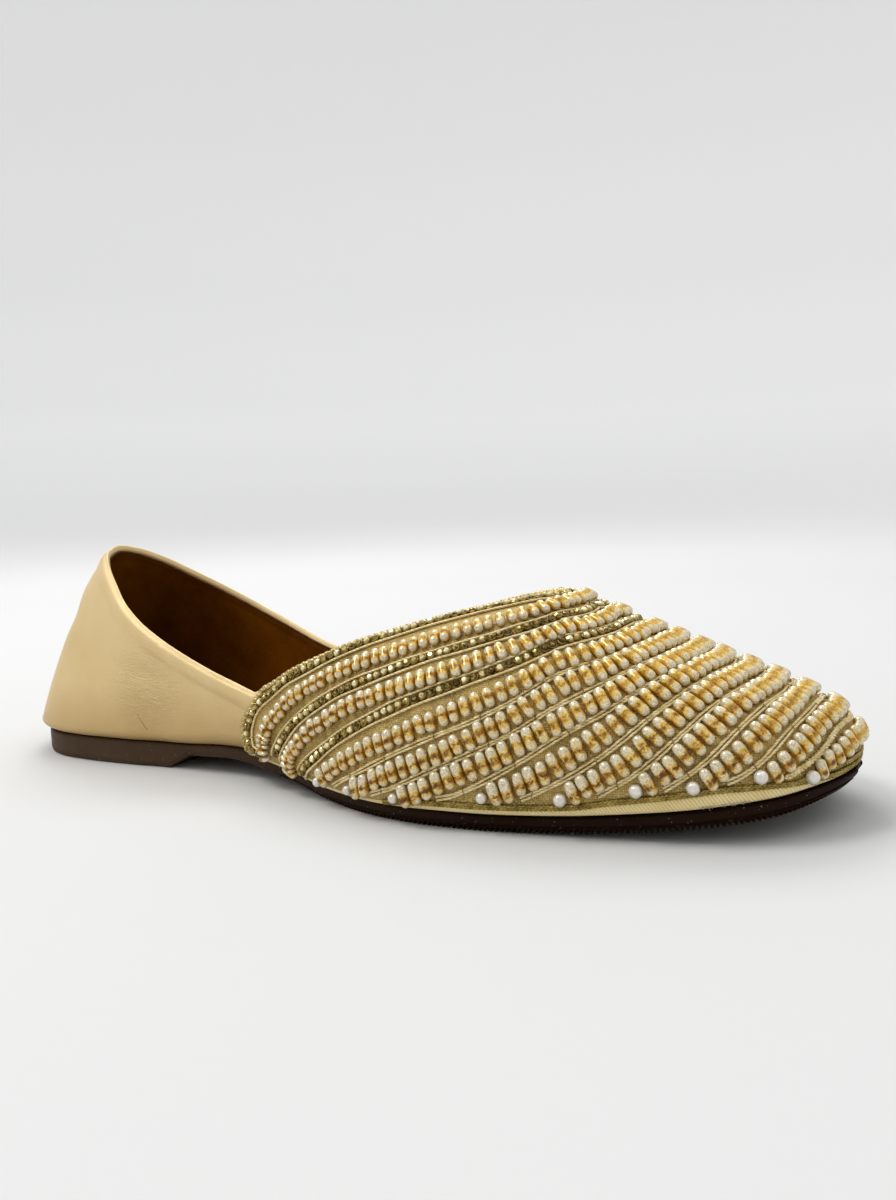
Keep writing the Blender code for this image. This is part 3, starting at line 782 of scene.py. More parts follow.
def gold_leather():
    """Pale gold smooth leather with a soft metallic gloss, fine pores and a few stretched wrinkles."""
    look = Look("gold_leather", Metallic=0.30, Coat_Weight=0.10, Coat_Roughness=0.3)
    colour = look.ramp(look.noise(38.0, 4.0), (0.3, (0.670, 0.493, 0.232)), (0.7, (0.770, 0.591, 0.322)))
    colour = look.mix(look.noise(900.0, 2.0) * 0.22, colour, (0.78, 0.61, 0.33))
    # Painted shade: deeper and warmer towards the sole
    low = ((0.024 - look.part(look.coords, 2)) * 40.0).clamped()
    colour = look.mix(low, colour, (0.42, 0.265, 0.095))
    scratch = look.near_line((0.0568, -0.0296, 0.0159), (0.0600, -0.0293, 0.0116), 0.00022)
    colour = look.mix(scratch * 0.65, colour, (0.26, 0.15, 0.05))
    pores = look.math("MINIMUM", look.cells(1500.0, "DISTANCE_TO_EDGE") * 4.0, 1.0)
    wrinkle = look.noise(850.0, 3.0, 0.6, 1.2, coords=look.stretched((0.45, 1.0, 1.9), 0.75))
    where = look.math("MINIMUM", look.near((0.060, -0.029, 0.0245), 0.015) * 1.6, 1.0)
    return look.finish(
        colour,
        (pores, 0.00004, 0.6),
        (wrinkle * (where * 1.7 + 0.08), 0.0011, 0.5),
        (look.noise(75.0, 2.0), 0.0016, 0.3),
        (1.0 - scratch, 0.0002, 0.8),
        roughness=look.noise(160.0, 4.0) * 0.16 + 0.38,
    )


def brown_leather(name, dark, light):
    """The amber-brown lining and footbed."""
    look = Look(name, Roughness=0.5, Specular_IOR_Level=0.12)
    colour = look.ramp(look.noise(55.0, 5.0, 0.6), (0.3, dark), (0.72, light))
    return look.finish(colour, (look.cells(1100.0), 0.00005, 0.6), (look.noise(300.0, 4.0), 0.0002, 0.4))


def weave(along, up, pitch):
    """Height of a plain weave: warp over weft by turns."""
    a, b = ((way * (math.pi / pitch)).sine() for way in (along, up))
    over = (a * b * 6.0 + 0.5).clamped()
    return abs(a) * over + abs(b) * (1.0 - over)


def gold_cloth():
    """Olive-gold base cloth of the vamp: a crinkled tissue weave with metal threads."""
    look = Look("gold_cloth", Metallic=0.35, Roughness=0.46)
    along, up = look.surface()
    wander = look.noise(420.0, 2.0) * 0.0006
    threads = weave(along + wander, up + wander, WEAVE_PITCH)
    cloud = look.noise(120.0, 5.0, 0.65)
    stops = (0.28, (0.37, 0.255, 0.085)), (0.60, (0.74, 0.54, 0.20)), (0.85, (0.92, 0.73, 0.34))
    # Painted shade: darker in the gaps between the threads.
    colour = look.mix((0.6 - threads).clamped(), look.ramp(cloud, *stops), (0.13, 0.08, 0.016))
    # Painted glints: pale gold specks where the metal threads catch the light.
    painted_glints = look.ramp(look.noise(2600.0, 1.0), (0.58, 0.0), (0.70, 1.0))
    colour = look.mix(painted_glints, colour, (0.80, 0.68, 0.34))
    return look.finish(colour, (threads, 0.00014, 0.9), (look.noise(620.0, 4.0, 0.65), 0.0012, 0.7))


def twill():
    """The bare beige twill under the embroidery, with its diagonal rib."""
    look = Look("beige_twill", Roughness=0.66, Sheen_Weight=0.25, Metallic=0.08)
    along, up = look.surface()
    slant = along + up * 0.75 + look.noise(260.0, 2.0) * 0.0005
    rib = (slant * (2 * math.pi / RIB_PITCH)).sine() * 0.5 + 0.5
    weft = (up * (2 * math.pi / WEAVE_PITCH)).sine()
    colour = look.ramp(look.noise(90.0, 4.0), (0.3, (0.91, 0.71, 0.33)), (0.7, (1.0, 0.86, 0.48)))
    # Painted shade: darker in the valleys of the rib.
    colour = look.mix((1.0 - rib) * 0.30, colour, (0.30, 0.21, 0.08))
    return look.finish(colour, (rib, 0.00014, 0.8), (weft, 0.00003, 0.5))


def thread(name, dark, light, lay=0.0011, metallic=0.55, roughness=0.36):
    """Metallic embroidery thread, twisted: lay is the length of one turn, in metres."""
    look = Look(name, Metallic=metallic, Roughness=roughness)
    along, around = look.surface()
    ply = abs(((along / lay - around * 2.0) * math.pi).sine())
    colour = look.ramp(look.noise(500.0, 3.0), (0.35, dark), (0.7, light))
    # Painted shade: darker in the grooves between the plies.
    colour = look.mix((0.55 - ply).clamped(), colour, tuple(0.35 * c for c in dark))
    return look.finish(colour, (ply, 0.00012, 0.9))


def pearl():
    """Rice-pearl glaze: silvery white at its ends, gold and amber round the middle, no two alike."""
    gloss = {"Roughness": 0.22, "Coat_Weight": 0.6, "Coat_Roughness": 0.08, "Specular_IOR_Level": 0.55}
    look = Look("stained_pearl", Metallic=0.32, **gloss)
    along, face, tint = look.tag("along"), look.tag("face"), look.tag("tint")
    seed = look.tag("seed") * 40.0
    blotch = look.noise(720.0, 4.0, 0.66, 0.5, seed)
    fine = look.noise(2600.0, 2.0, 0.7, 0.0, seed)
    # The stain runs round the bead a little below its middle, and nearer the middle towards the ridge.
    middle = abs(along - (tint * 0.40 - 0.30))
    band = tint * 0.25 + 0.84 - middle * 1.85 + (blotch - 0.5) * 3.2
    # Painted shade and painted reflection of the gold cloth: the stain is made heavier on the sides of each
    # bead that face its neighbours and the cloth.
    under = (0.55 - face).clamped() * 0.75
    stain = ((band + under) * 1.15).clamped()
    stops = (0.30, (0.42, 0.33, 0.19)), (0.50, (0.71, 0.62, 0.43)), (0.70, (0.95, 0.91, 0.79))
    glaze = look.mix(tint * 0.15, look.ramp(fine, *stops), (0.88, 0.72, 0.38))
    amber = look.mix(tint, (0.46, 0.165, 0.003), (0.66, 0.36, 0.020))
    # Painted glints: bright yellow specks in the amber.
    amber = look.mix(look.ramp(fine, (0.48, 0.1), (0.64, 0.8)), amber, (0.90, 0.66, 0.15))
    gold = look.mix((stain * 2.2).clamped(), glaze, (0.86, 0.60, 0.14))
    colour = look.mix((stain * 2.0 - 0.8).clamped(), gold, amber)
    grain = look.ramp(fine, (0.36, 0.75), (0.47, 0.0)) * stain
    colour = look.mix(grain, colour, (0.34, 0.145, 0.012))
    # A dark heart in the stain of some beads
    core = (0.42 - middle).clamped() * look.math("MAXIMUM", face, 0.0)
    spot = (blotch - 0.40).clamped() * 17.0
    colour = look.mix((core * spot * (1.25 - tint)).clamped(), colour, (0.13, 0.045, 0.004))
    return look.finish(colour, (blotch, 0.00010, 0.25))


def white_pearl():
    """Round white pearls with a silvery lustre."""
    look = Look("white_pearl", Metallic=0.35, Roughness=0.2, Coat_Weight=0.8, Coat_Roughness=0.06)
    return look.finish(look.ramp(look.noise(700.0), (0.3, (0.70, 0.65, 0.56)), (0.7, (0.87, 0.84, 0.78))))


def cut_stone():
    """Foil-backed glass stones: a bright table, a painted glint, in a crown painted near black as shade. The
    seed sets how bright each is.
    """
    look = Look("cut_stone", Metallic=0.85, Roughness=0.14, Coat_Weight=0.35, Coat_Roughness=0.03)
    seed = look.tag("seed")
    value = seed * 0.42 + look.noise(1500.0, 1.0, 0.5, 0.0, seed * 30.0) * 0.6
    # Painted glint: the table runs up to pale gold. Painted shade: the crown is near black, as the gaps
    # between close-set stones.
    stops = (0.30, (0.09, 0.058, 0.013)), (0.48, (0.62, 0.47, 0.16)), (0.66, (1.0, 0.92, 0.60))
    dark = look.ramp(value, (0.35, (0.030, 0.019, 0.004)), (0.75, (0.34, 0.23, 0.060)))
    return look.finish(look.mix(look.tag("table"), dark, look.ramp(value, *stops)))


def stone_cup():
    """The metal setting of a stone."""
    look = Look("stone_cup", Metallic=0.75, Roughness=0.34)
    cloud = look.noise(800.0, 3.0)
    colour = look.ramp(cloud, (0.3, (0.19, 0.13, 0.034)), (0.75, (0.58, 0.43, 0.14)))
    return look.finish(colour, (cloud, 0.0001, 0.4))


def brown_rubber():
    """Moulded sole: dark brown, redder towards the toe, with dust and faint scuffs; painted light at the
    heel, painted shade towards the toe.
    """
    look = Look("brown_rubber", Specular_IOR_Level=0.12)
    # Painted light and shade: the side is lighter brown at the heel, where light falls on it, and much
    # darker, as well as redder, towards the toe.
    toward = ((look.part(look.coords, 0) + 0.06) * 9.0).clamped()
    colour = look.mix(toward, (0.125, 0.080, 0.048), (0.026, 0.0085, 0.0020))
    colour = look.mix(look.noise(70.0, 5.0, 0.65) * 0.6, colour, (0.010, 0.0045, 0.0015))
    dust = look.ramp(look.noise(2100.0, 1.0), (0.735, 0.0), (0.76, 1.0))
    colour = look.mix(dust * 0.5, colour, (0.55, 0.50, 0.44))
    scuff = look.noise(130.0, 4.0, coords=look.stretched((1.0, 1.0, 6.0)))
    return look.finish(colour, (look.noise(1400.0, 3.0), 0.00005, 0.5), roughness=scuff * 0.3 + 0.36)


def studio_paper():
    """Pale paper, lighter away from the shoe: painted shade near the shoe evens out the lamps' light there.
    """
    look = Look("studio_paper", Roughness=0.8, Specular_IOR_Level=0.2)
    # Painted shade: the paper is darkest within 0.6 m of the floor's middle, where the shoe stands.
    far = ((look.vector("LENGTH", look.coords) - 0.6) * 0.45).clamped()
    return look.finish(look.mix(far, (0.69, 0.69, 0.68), (0.97, 0.97, 0.955)))


def make_camera():
    yaw, pitch, roll = (math.radians(a) for a in (29.05, 6.01, -2.16))
    forward = Vector((-math.sin(yaw) * math.cos(pitch), math.cos(yaw) * math.cos(pitch), -math.sin(pitch)))
    right = Vector((math.cos(yaw), math.sin(yaw), 0))
    up = right.cross(forward)
    right, up = right * math.cos(roll) + up * math.sin(roll), up * math.cos(roll) - right * math.sin(roll)
    data = bpy.data.cameras.new("camera")
    data.lens = 1034.14 * 36 / 1200
    data.sensor_width = 36
    camera = bpy.data.objects.new("camera", data)
    place = Vector((0.28264, -0.24584, 0.07777)) + Vector(OFFSET)
    camera.matrix_world = Matrix.Translation(place) @ Matrix((right, up, -forward)).transposed().to_4x4()
    data.clip_start = 0.01
    bpy.context.collection.objects.link(camera)
    bpy.context.scene.camera = camera


def make_light(name, place, target, size, power):
    data = bpy.data.lights.new(name, "AREA")
    data.shape = "RECTANGLE"
    data.size, data.size_y = size
    data.energy = power
    light = bpy.data.objects.new(name, data)
    light.location = place
    light.rotation_euler = (Vector(target) - Vector(place)).to_track_quat("-Z", "Y").to_euler()
    bpy.context.collection.objects.link(light)


def make_studio():
    world = bpy.data.worlds.new("studio")
    world.use_nodes = True
    world.node_tree.nodes["Background"].inputs["Color"].default_value = (0.97, 0.98, 1.0, 1.0)
    world.node_tree.nodes["Background"].inputs["Strength"].default_value = 0.60
    bpy.context.scene.world = world
    bpy.context.scene.view_settings.view_transform = "Standard"
    bpy.context.scene.view_settings.look = "Medium High Contrast"
    make_light("key", (-0.65, -0.40, 1.30), (0.0, 0.0, 0.0), (0.5, 0.5), 6.0)
    make_light("back", (-0.50, 0.70, 1.05), (0.05, -0.05, 0.0), (0.7, 0.5), 4.0)
    make_light("top", (0.0, 0.6, 2.6), (0.0, 0.6, 0.0), (3.5, 3.5), 12.0)
    flat = (0.002, 0), (0.6, 0), (1.2, 0)
    profile = (*flat, (1.8, 0.02), (2.4, 0.12), (3.0, 0.36), (3.5, 0.78), (3.9, 1.45), (4.1, 2.4))
    around = np.linspace(0, 2 * math.pi, 96, endpoint=False)
    rings = [[(r * math.cos(a), r * math.sin(a), z) for r, z in profile] for a in around]
    mesh = bpy.data.meshes.new("floor")
    quads = grid_quads(len(around), len(profile), closed=True)[:, ::-1]
    mesh.from_pydata([tuple(p) for ring in rings for p in ring], [], [tuple(q) for q in quads.tolist()])
    mesh.materials.append(studio_paper())
    mesh.polygons.foreach_set("use_smooth", [True] * len(mesh.polygons))
    floor = bpy.data.objects.new("floor", mesh)
    bpy.context.collection.objects.link(floor)


# ---- Leather body ----


def run_turns(table, count, last=False):
    first, end = share_to_turn(table[0][0]), share_to_turn(table[-1][0])
    return np.linspace(first, end, count, endpoint=last)


def heights_below_edge(turns, distances, wall_rows, foot_rows):
    """Rows for each station, from the sole up, with the last ones at given distances below the top edge."""
    fine = np.linspace(0, 1, 160)
    rows = []
    foot = np.linspace(0, FOOT_SHARE, foot_rows, endpoint=False)
    for route in skin(*np.meshgrid(turns, fine, indexing="ij"), OUTER):
        way = travelled(route)
        near_top = np.interp(way[-1] - np.array(distances), way, fine)
        wall = np.linspace(FOOT_SHARE, near_top[0], wall_rows, endpoint=False)
        rows.append(np.concatenate([foot, wall, near_top]))
    return np.array(rows)


def quarter_share(x):
    """1 on the bare leather quarters, falling to 0 where the vamp's cloth covers them."""
    return np.clip((0.106 - x) / 0.012, 0, 1)


def leather_relief(points, distance):
    """How far the leather stands out of the plain skin: padded topline, heel bulge and dent, soft creases."""
    x, y, z = points.T
    quarter = quarter_share(x)
    share = np.clip(distance / ROLL_WIDTH, 0, 1)
    heel = np.clip((0.050 - x) / 0.035, 0, 1)
    roll = np.sin(math.pi * share**0.8) ** 1.1 * (0.00062 - 0.00040 * heel)
    valley = -0.00016 * np.exp(-(((distance - ROLL_WIDTH * 1.15) / 0.0018) ** 2)) * (1 - heel)
    relief = (roll + valley) * quarter
    relief += heel * 0.00055 * np.exp(-(((z - 0.0510) / 0.0060) ** 2)) * np.clip(distance / 0.008, 0, 1)
    relief -= heel * 0.00040 * np.exp(-(((z - 0.0420 - 0.10 * (x - 0.01)) / 0.0034) ** 2))
    side = np.clip((x - 0.02) / 0.02, 0, 1) * quarter
    wave = np.sin(x * 210 + z * 90 + 1.0) * np.sin(x * 85 - z * 160 + 0.4)
    relief += side * 0.00016 * wave * np.clip((distance - 0.004) / 0.008, 0, 1)
    # A long slack fold from under the roll at the heel down to the middle of the quarter.
    fold = z - (0.030 - 0.20 * (x - 0.052))
    along_fold = np.exp(-(((x - 0.056) / 0.017) ** 2))
    relief -= 0.00022 * np.exp(-((fold / 0.0022) ** 2)) * along_fold * (y < 0)
    return relief


def make_upper(leather, lining):
    turns = np.concatenate([run_turns(COLLAR, 72), run_turns(THROAT, 46), run_turns(RIDGE, 34, last=True)])
    below = np.array([9.0, 7.5, 6.3, 5.6, 5.15, 4.7, 4.3, 3.6, 2.8, 2.0, 1.2, 0.55, 0.15, 0.0]) / 1000
    heights = heights_below_edge(turns, below, 16, 6)
    grid_turns = np.repeat(turns[:, None], heights.shape[1], axis=1)
    points = both_sides(skin, grid_turns, heights)[:-1]
    columns, rows = points.shape[:2]
    flat_points = points.reshape(-1, 3)
    distance = np.concatenate([np.full(rows - len(below), 0.012), below])
    distance = np.tile(distance, columns)
    row = np.tile(np.arange(rows), columns)
    high = leather_relief(flat_points, distance)
    quarter = quarter_share(flat_points[:, 0])
    low = -UPPER_WALL - np.sin(math.pi * np.clip(distance / 0.0034, 0, 1)) ** 0.9 * INNER_ROLL * quarter
    high -= 0.0003 * np.exp(-distance / 0.0003)
    lift = (row == rows - 1) * 0.0009
    uv = np.stack([flat_points[:, 0], flat_points[:, 2]], axis=1)
    thick_sheet(
        "upper_shell",
        flat_points,
        grid_quads(columns, rows, closed=True),
        low,
        high,
        uv,
        [leather, lining],
        lift,
        rim_rows=5,
        flat_foot=(row == 0).astype(float),
        inside_look=lambda quads: (distance[quads].mean(axis=1) > FOLD_WIDTH).astype(int),
        replaces=("upper",),
        slot="upper",
    )


def make_topline_welt(lining_thread):
    """The turned edge of the lining, a thin brown line inside the rolled collar."""
    turns = np.concatenate([run_turns(COLLAR, 260), run_turns(THROAT, 60)[:22]])
    parts = []
    for side in (OUTER, INNER):
        heights = heights_below_edge(turns, [FOLD_WIDTH, 0.0], 2, 2)
        position = skin(turns, heights[:, -2], side)
        normal = skin_normal(turns, heights[:, -2], side)
        lean = -UPPER_WALL - INNER_ROLL * quarter_share(position[:, 0])
        route = position + normal * lean[:, None]
        parts.append(sweep(route, normal, round_section(0.00030, 7), 0.0))
    joined_piece("topline_welt", parts, lining_thread, "upper")


def make_footbed(material):
    rings = []
    turns = np.linspace(FIRST_SOLE_TURN * 2, 1 - FIRST_SOLE_TURN * 2, 110)
    across = np.sin(np.linspace(-math.pi / 2, math.pi / 2, 19))
    for turn in turns:
        along = turn_to_share(turn)
        inset = FEATHER_INSET + max(-column(SWELL, 1, turn) * BALL_WIDTH, 0) + UPPER_WALL + INSOLE_CLEARANCE
        floor = sole_heights(along)[1] + CLEARANCE
        outer, inner = outline(turn, OUTER, -inset), outline(turn, INNER, -inset)
        middle, half = (outer + inner) / 2, (inner - outer) / 2
        ring = [(*outer, floor), (*outer, floor + 0.0012)]
        for share in across:
            edge = (1 - abs(share) ** 6) ** 0.5
            height = floor + 0.0014 + edge * (INSOLE_THICKNESS - 0.0014) + 0.0003 * abs(share) ** 3 * edge
            x, y = middle + half * share
            ring.append((x, y, height))
        ring += [(*inner, floor + 0.0012), (*inner, floor)]
        rings.append(ring)
    loft("footbed", np.array(rings), [material], replaces=("insole",), slot="insole")


def sole_stations():
    """Stations close together where the edge has teeth, and wider elsewhere."""
    fine = np.linspace(FIRST_SOLE_TURN, 1 - FIRST_SOLE_TURN, 4000)
    travel = travelled(outline_point(fine, OUTER))
    share = turn_to_share(fine)
    dense = (share > TOOTH_START - 0.01) & (share < TOOTH_END + 0.004)
    wanted = np.concatenate([[0], np.cumsum(np.diff(travel) / np.where(dense[1:], TOOTH_PITCH / 4, 0.0016))])
    turns = np.interp(np.arange(0, wanted[-1], 1.0), wanted, fine)
    corners = share_to_turn(np.array([SOLE_SIDES[1][0], SOLE_SIDES[2][0]]))
    turns = np.concatenate([turns, corners, [1 - FIRST_SOLE_TURN]])
    turns = np.sort(turns)
    keep = np.concatenate([[True], np.diff(turns) > 1e-5])
    return turns[keep], fine, travel


def make_sole(material):
    turns, fine, travel = sole_stations()
    rings = []
    for turn in turns:
        along = float(turn_to_share(turn))
        low, high = (float(v) for v in sole_heights(along))
        groove = float(np.clip((along - GROOVE_START) / GROOVE_FADE, 0, 1)) * GROOVE_DEPTH
        tooth_in = float(np.clip((along - TOOTH_START) / 0.02, 0, 1))
        tooth_in *= float(np.clip((TOOTH_END - along) / 0.01, 0, 1))
        way = float(np.interp(turn, fine, travel))
        steps = [
            # in from the outline, height above the underside
            (0.0050, 0.0),
            (0.0044, 0.0),
            (0.0011, 0.0),
            (0.0006, 0.00012),
            (0.0003, 0.0003),
            (0.0002, 0.00055),
            (0.0002, 0.0009),
            (0.0002, TOOTH_HEIGHT),
            (0.0, TOOTH_HEIGHT + 0.00005),
            (0.0, 0.0014),
            (groove * 0.8, 0.0015),
            (groove, 0.0017),
            (groove * 0.8, 0.0019),
            (0.0, 0.0020),
        ]
        room = high - low
        steps += [(0.0, room - 0.0009), (0.0001, room - 0.0005), (0.00035, room - 0.00015), (0.0008, room)]
        for side in (OUTER, INNER):
            corners = []
            for k, (inset, up) in enumerate(steps):
                up = up if up <= 0.002 else max(up, 0.00205)
                if 1 <= k <= 7 and abs((way / TOOTH_PITCH) % 1 - 0.5) < 0.25:
                    inset += 0.00050 * tooth_in * (k > 2)
                    up += max(TOOTH_HEIGHT - up, 0) * 0.85 * tooth_in
                x, y = outline(turn, side, -inset)
                share = 1 - up / room
                tuck = float(np.clip((along - TUCK_START) / (1 - TUCK_START), 0, 1)) ** 2
                corners.append((x - TOE_UNDERCUT * share * tuck, y, low + up))
            rings.append(corners if side == OUTER else corners[::-1])
    rings = np.array(rings).reshape(len(turns), -1, 3)
    loft("sole", rings, [material], sharp=38, replaces=("outsole",), slot="outsole")


# ---- Embroidered vamp ----

REAR_EDGE = (
    # turn, height
    (0.4300, 0.020),
    (0.4272, 0.070),
    (0.4274, 0.140),
    (0.4274, 0.220),
    (0.4278, 0.380),
    (0.4320, 0.589),
    (0.4400, 0.832),
    (0.4480, 1.000),
)


def rear_turn(height):
    rows = np.array(REAR_EDGE)
    return smooth(rows[:, 1], rows[:, 0], np.clip(height, rows[0, 1], 1))


def braid_height(turn):
    rows = np.array(BRAID)
    return smooth(share_to_turn(rows[:, 0]), rows[:, 1], np.clip(turn, share_to_turn(rows[0, 0]), 1))


def make_vamp_cloth(cloth, bare):
    """The embroidered cloth over the front of the upper, and the strip of bare twill below its braid."""
    low_height = 0.025
    low_rows, columns_each = 6, 120
    upper_rows = np.linspace(0, 1, 34) ** 1.05
    grids = []
    edge_turn = float(rear_turn(1.0))
    apex = float(share_to_turn(THROAT[-1][0]))
    # One more column, so that one falls on the throat's apex
    share = np.sort(np.append(np.linspace(0, 1, columns_each), (apex - edge_turn) / (1 - edge_turn)))
    turn_top = edge_turn + (1 - edge_turn) * share
    for k in range(low_rows + len(upper_rows)):
        turns = turn_top.copy()
        for _ in range(3):
            line = braid_height(turns)
            if k < low_rows:
                height = low_height + (line - low_height) * k / low_rows
            else:
                height = line + (1 - line) * upper_rows[k - low_rows]
            start = rear_turn(height)
            turns = start + (1 - start) * share
        grids.append((turns, height))
    turns = np.array([g[0] for g in grids]).T
    heights = np.array([g[1] for g in grids]).T
    heights[:, -1] = 1.0
    points = both_sides(skin, turns, heights)
    columns, rows = points.shape[:2]
    way_up = np.array([travelled(route) for route in points])
    way_along = travelled(points[:, rows // 3])
    uv = np.stack([np.repeat(way_along[:, None], rows, axis=1), way_up], axis=-1).reshape(-1, 2)
    quads = grid_quads(columns, rows)
    row = np.tile(np.arange(rows), columns)
    flat_points = points.reshape(-1, 3)
    puff = np.where(row < low_rows, 0.0003 * np.sin(math.pi * row / low_rows), 0)
    bare_row = row[quads].max(axis=1) <= low_rows
    high = CLOTH_TOP + puff
    low = np.full(len(flat_points), CLEARANCE)
    foot = (row == 0).astype(float)
    flat_rim = np.zeros(len(flat_points))
    for name, faces, material, rest in (
        ("vamp_cloth", quads[~bare_row], cloth, {"replaces": ("vamp_panel",)}),
        ("twill_strip", quads[bare_row], bare, {"flat_foot": foot}),
    ):
        thick_sheet(name, flat_points, faces, low, high, uv, [material], flat_rim, slot="vamp_panel", **rest)


PEARL_ROWS = (
    # where it starts along its path, first bead from there, bead length, bead width, pitch, white pearl (mm)
    (-0.017, 0.9, 4.5, 2.45, 2.75, 0.0),
    (-0.026, 0.9, 4.8, 2.50, 2.85, 0.0),
    (0.0, 3.0, 5.1, 2.55, 2.92, 2.4),
    (0.0, 3.1, 5.4, 2.60, 2.98, 2.5),
    (0.0, 3.2, 5.6, 2.65, 3.02, 2.6),
    (0.0, 3.4, 5.7, 2.70, 3.05, 2.8),
    (0.0, 3.5, 5.7, 2.70, 3.05, 3.0),
    (0.0, 3.5, 5.6, 2.70, 3.05, 3.1),
    (0.0, 3.6, 5.4, 2.70, 3.00, 3.1),
    (0.0, 3.6, 5.1, 2.65, 2.95, 3.2),
    (0.0, 3.6, 4.8, 2.60, 2.85, 3.2),
)


def bead_mesh(centres, axes, ups, sides, lengths, widths, slim, seeds, tints, rings=13, around=14):
    """Barrel beads, each along its axis and thinned along the row by slim, with the glaze's tags."""
    angle = np.linspace(-math.pi / 2, math.pi / 2, rings)
    s = np.sin(angle) * 0.994
    radius = (1 - np.abs(s) ** 4.6) ** 0.46
    theta = np.linspace(0, 2 * math.pi, around, endpoint=False)
    local_axis = np.repeat(s, around)
    local_up = (radius[:, None] * np.cos(theta)).reshape(-1)
    local_side = (radius[:, None] * np.sin(theta)).reshape(-1)
    count, each = len(centres), rings * around
    points = (
        centres[:, None]
        + axes[:, None] * (local_axis[None] * lengths[:, None] / 2)[..., None]
        + ups[:, None] * (local_up[None] * widths[:, None] / 2)[..., None]
        + sides[:, None] * (local_side[None] * (widths * slim)[:, None] / 2)[..., None]
    ).reshape(-1, 3)
    quads, *caps = tube_copies(rings, around, count)
    tags = {
        "along": np.tile(local_axis, count),
        "face": np.tile(np.cos(theta), rings * count),
        "seed": np.repeat(seeds, each),
        "tint": np.repeat(tints, each),
    }
    return points, [quads, np.concatenate(caps)], tags


def turned(vectors, axis, angle):
    """Unit vectors turned about unit axes."""
    cos, sin = np.cos(angle)[:, None], np.sin(angle)[:, None]
    dot = (vectors * axis).sum(axis=1)[:, None]
    return vectors * cos + np.cross(axis, vectors) * sin + axis * dot * (1 - cos)


def paths_of(wanted, paths):
    return [(name, path) for name, kind, path in paths if kind == wanted]


def make_pearl_rows(paths, material):
    for (name, path), size in zip(paths_of("pearl", paths), PEARL_ROWS):
        start = size[0]
        first, length, width, pitch = (value / 1000 for value in size[1:5])
        blocks = []
        for side in (OUTER, INNER):
            total = path_length(path, side, start)
            discs = first + np.arange(FOOT_DISCS if start < 0 else 0) * DISC_PITCH
            low = discs[-1] + (DISC_PITCH + pitch) / 2 if len(discs) else first
            count = max(2, round((total - low) / pitch + 0.5))
            step = (total - low) / (count - 0.5)
            places = np.concatenate([discs, low + np.arange(count) * step + RANDOM.normal(0, 0.00012, count)])
            slim = np.concatenate([np.full(len(discs), DISC_PITCH * 1.04 / width), np.ones(count)])
            count += len(discs)
            position, normal, heading = at_travel(path, side, places, start)
            axis = unit(np.cross(normal, heading))
            axis *= np.where(axis[:, 2] >= 0, 1, -1)[:, None]
            axis = turned(axis, normal, RANDOM.normal(0, 0.075, count))
            across = np.cross(normal, axis)
            axis = turned(axis, across, RANDOM.normal(0, 0.05, count))
            up = np.cross(axis, across)
            up *= np.sign((up * normal).sum(axis=1))[:, None]
            widths = width * RANDOM.normal(1, 0.025, count)
            near_ridge = np.clip((places / total - 0.70) / 0.30, 0, 1)
            lengths = length * RANDOM.normal(1, 0.03, count) * (1 - 0.06 * near_ridge)
            centre = position + normal * (CLOTH_TOP + widths * 0.43)[:, None]
            centre += axis * RANDOM.normal(0, 0.00016, count)[:, None]
            seeds = RANDOM.random(count)
            blocks.append((centre, axis, up, across, lengths, widths, slim, seeds, places / total))
        points, faces, tags = bead_mesh(*(np.concatenate(parts) for parts in zip(*blocks)))
        row = name.replace("string", "row")
        piece(row, points, faces, [material], replaces=(name,), slot=name, tags=tags)


STONE_RINGS = (
    # radius, height over the cloth (mm), 1 on the stone's table, from the foot of the cup up
    (0.95, 0.10, 0),
    (1.14, 0.40, 0),
    (1.14, 0.82, 0),
    (0.99, 0.96, 0),
    (0.94, 0.92, 0),
    (0.58, 1.34, 1),
    (0.48, 1.42, 1),
)
CUP_RINGS = 4


def make_stone_rows(paths, stone, cup):
    """Faceted stones in metal cups, each a little tilted."""
    facets = 8
    theta = np.linspace(0, 2 * math.pi, facets, endpoint=False)
    rings = np.array(STONE_RINGS)
    for name, path in paths_of("stone", paths):
        blocks, seeds = [], []
        for side in (OUTER, INNER):
            total = path_length(path, side)
            count = round(total / STONE_PITCH)
            places = (np.arange(count) + 0.5) * total / count + RANDOM.normal(0, 0.00008, count)
            position, normal, heading = at_travel(path, side, places)
            across = np.cross(normal, heading)
            tilt = RANDOM.normal(0, 0.13, (count, 2))
            up = unit(normal + heading * tilt[:, :1] + across * tilt[:, 1:])
            ahead = unit(heading - up * (heading * up).sum(axis=1)[:, None])
            beside = np.cross(up, ahead)
            spin = RANDOM.random(count) * math.pi
            centre = position + normal * CLOTH_TOP + across * RANDOM.normal(0, 0.00009, count)[:, None]
            for c, u, a, b, s in zip(centre, up, ahead, beside, spin):
                circle = np.outer(np.cos(theta + s), a) + np.outer(np.sin(theta + s), b)
                blocks += [c + u * height / 1000 + radius / 1000 * circle for radius, height, _ in rings]
                seeds.append(RANDOM.random())
        points = np.concatenate(blocks)
        each = facets * len(rings)
        quads, feet, tables = tube_copies(len(rings), facets, len(seeds))
        look = np.tile(np.repeat(np.arange(len(rings) - 1) >= CUP_RINGS, facets), len(seeds)).astype(int)
        face_material = np.concatenate([look, np.ones(len(seeds)), np.zeros(len(seeds))])
        piece(
            name.replace("string", "row"),
            points,
            [quads, np.concatenate([tables, feet])],
            [cup, stone],
            face_material,
            replaces=(name,),
            slot=name,
            flat=True,
            tags={
                "seed": np.repeat(seeds, each),
                "table": np.tile(np.repeat(rings[:, 2], facets), len(seeds)),
            },
        )


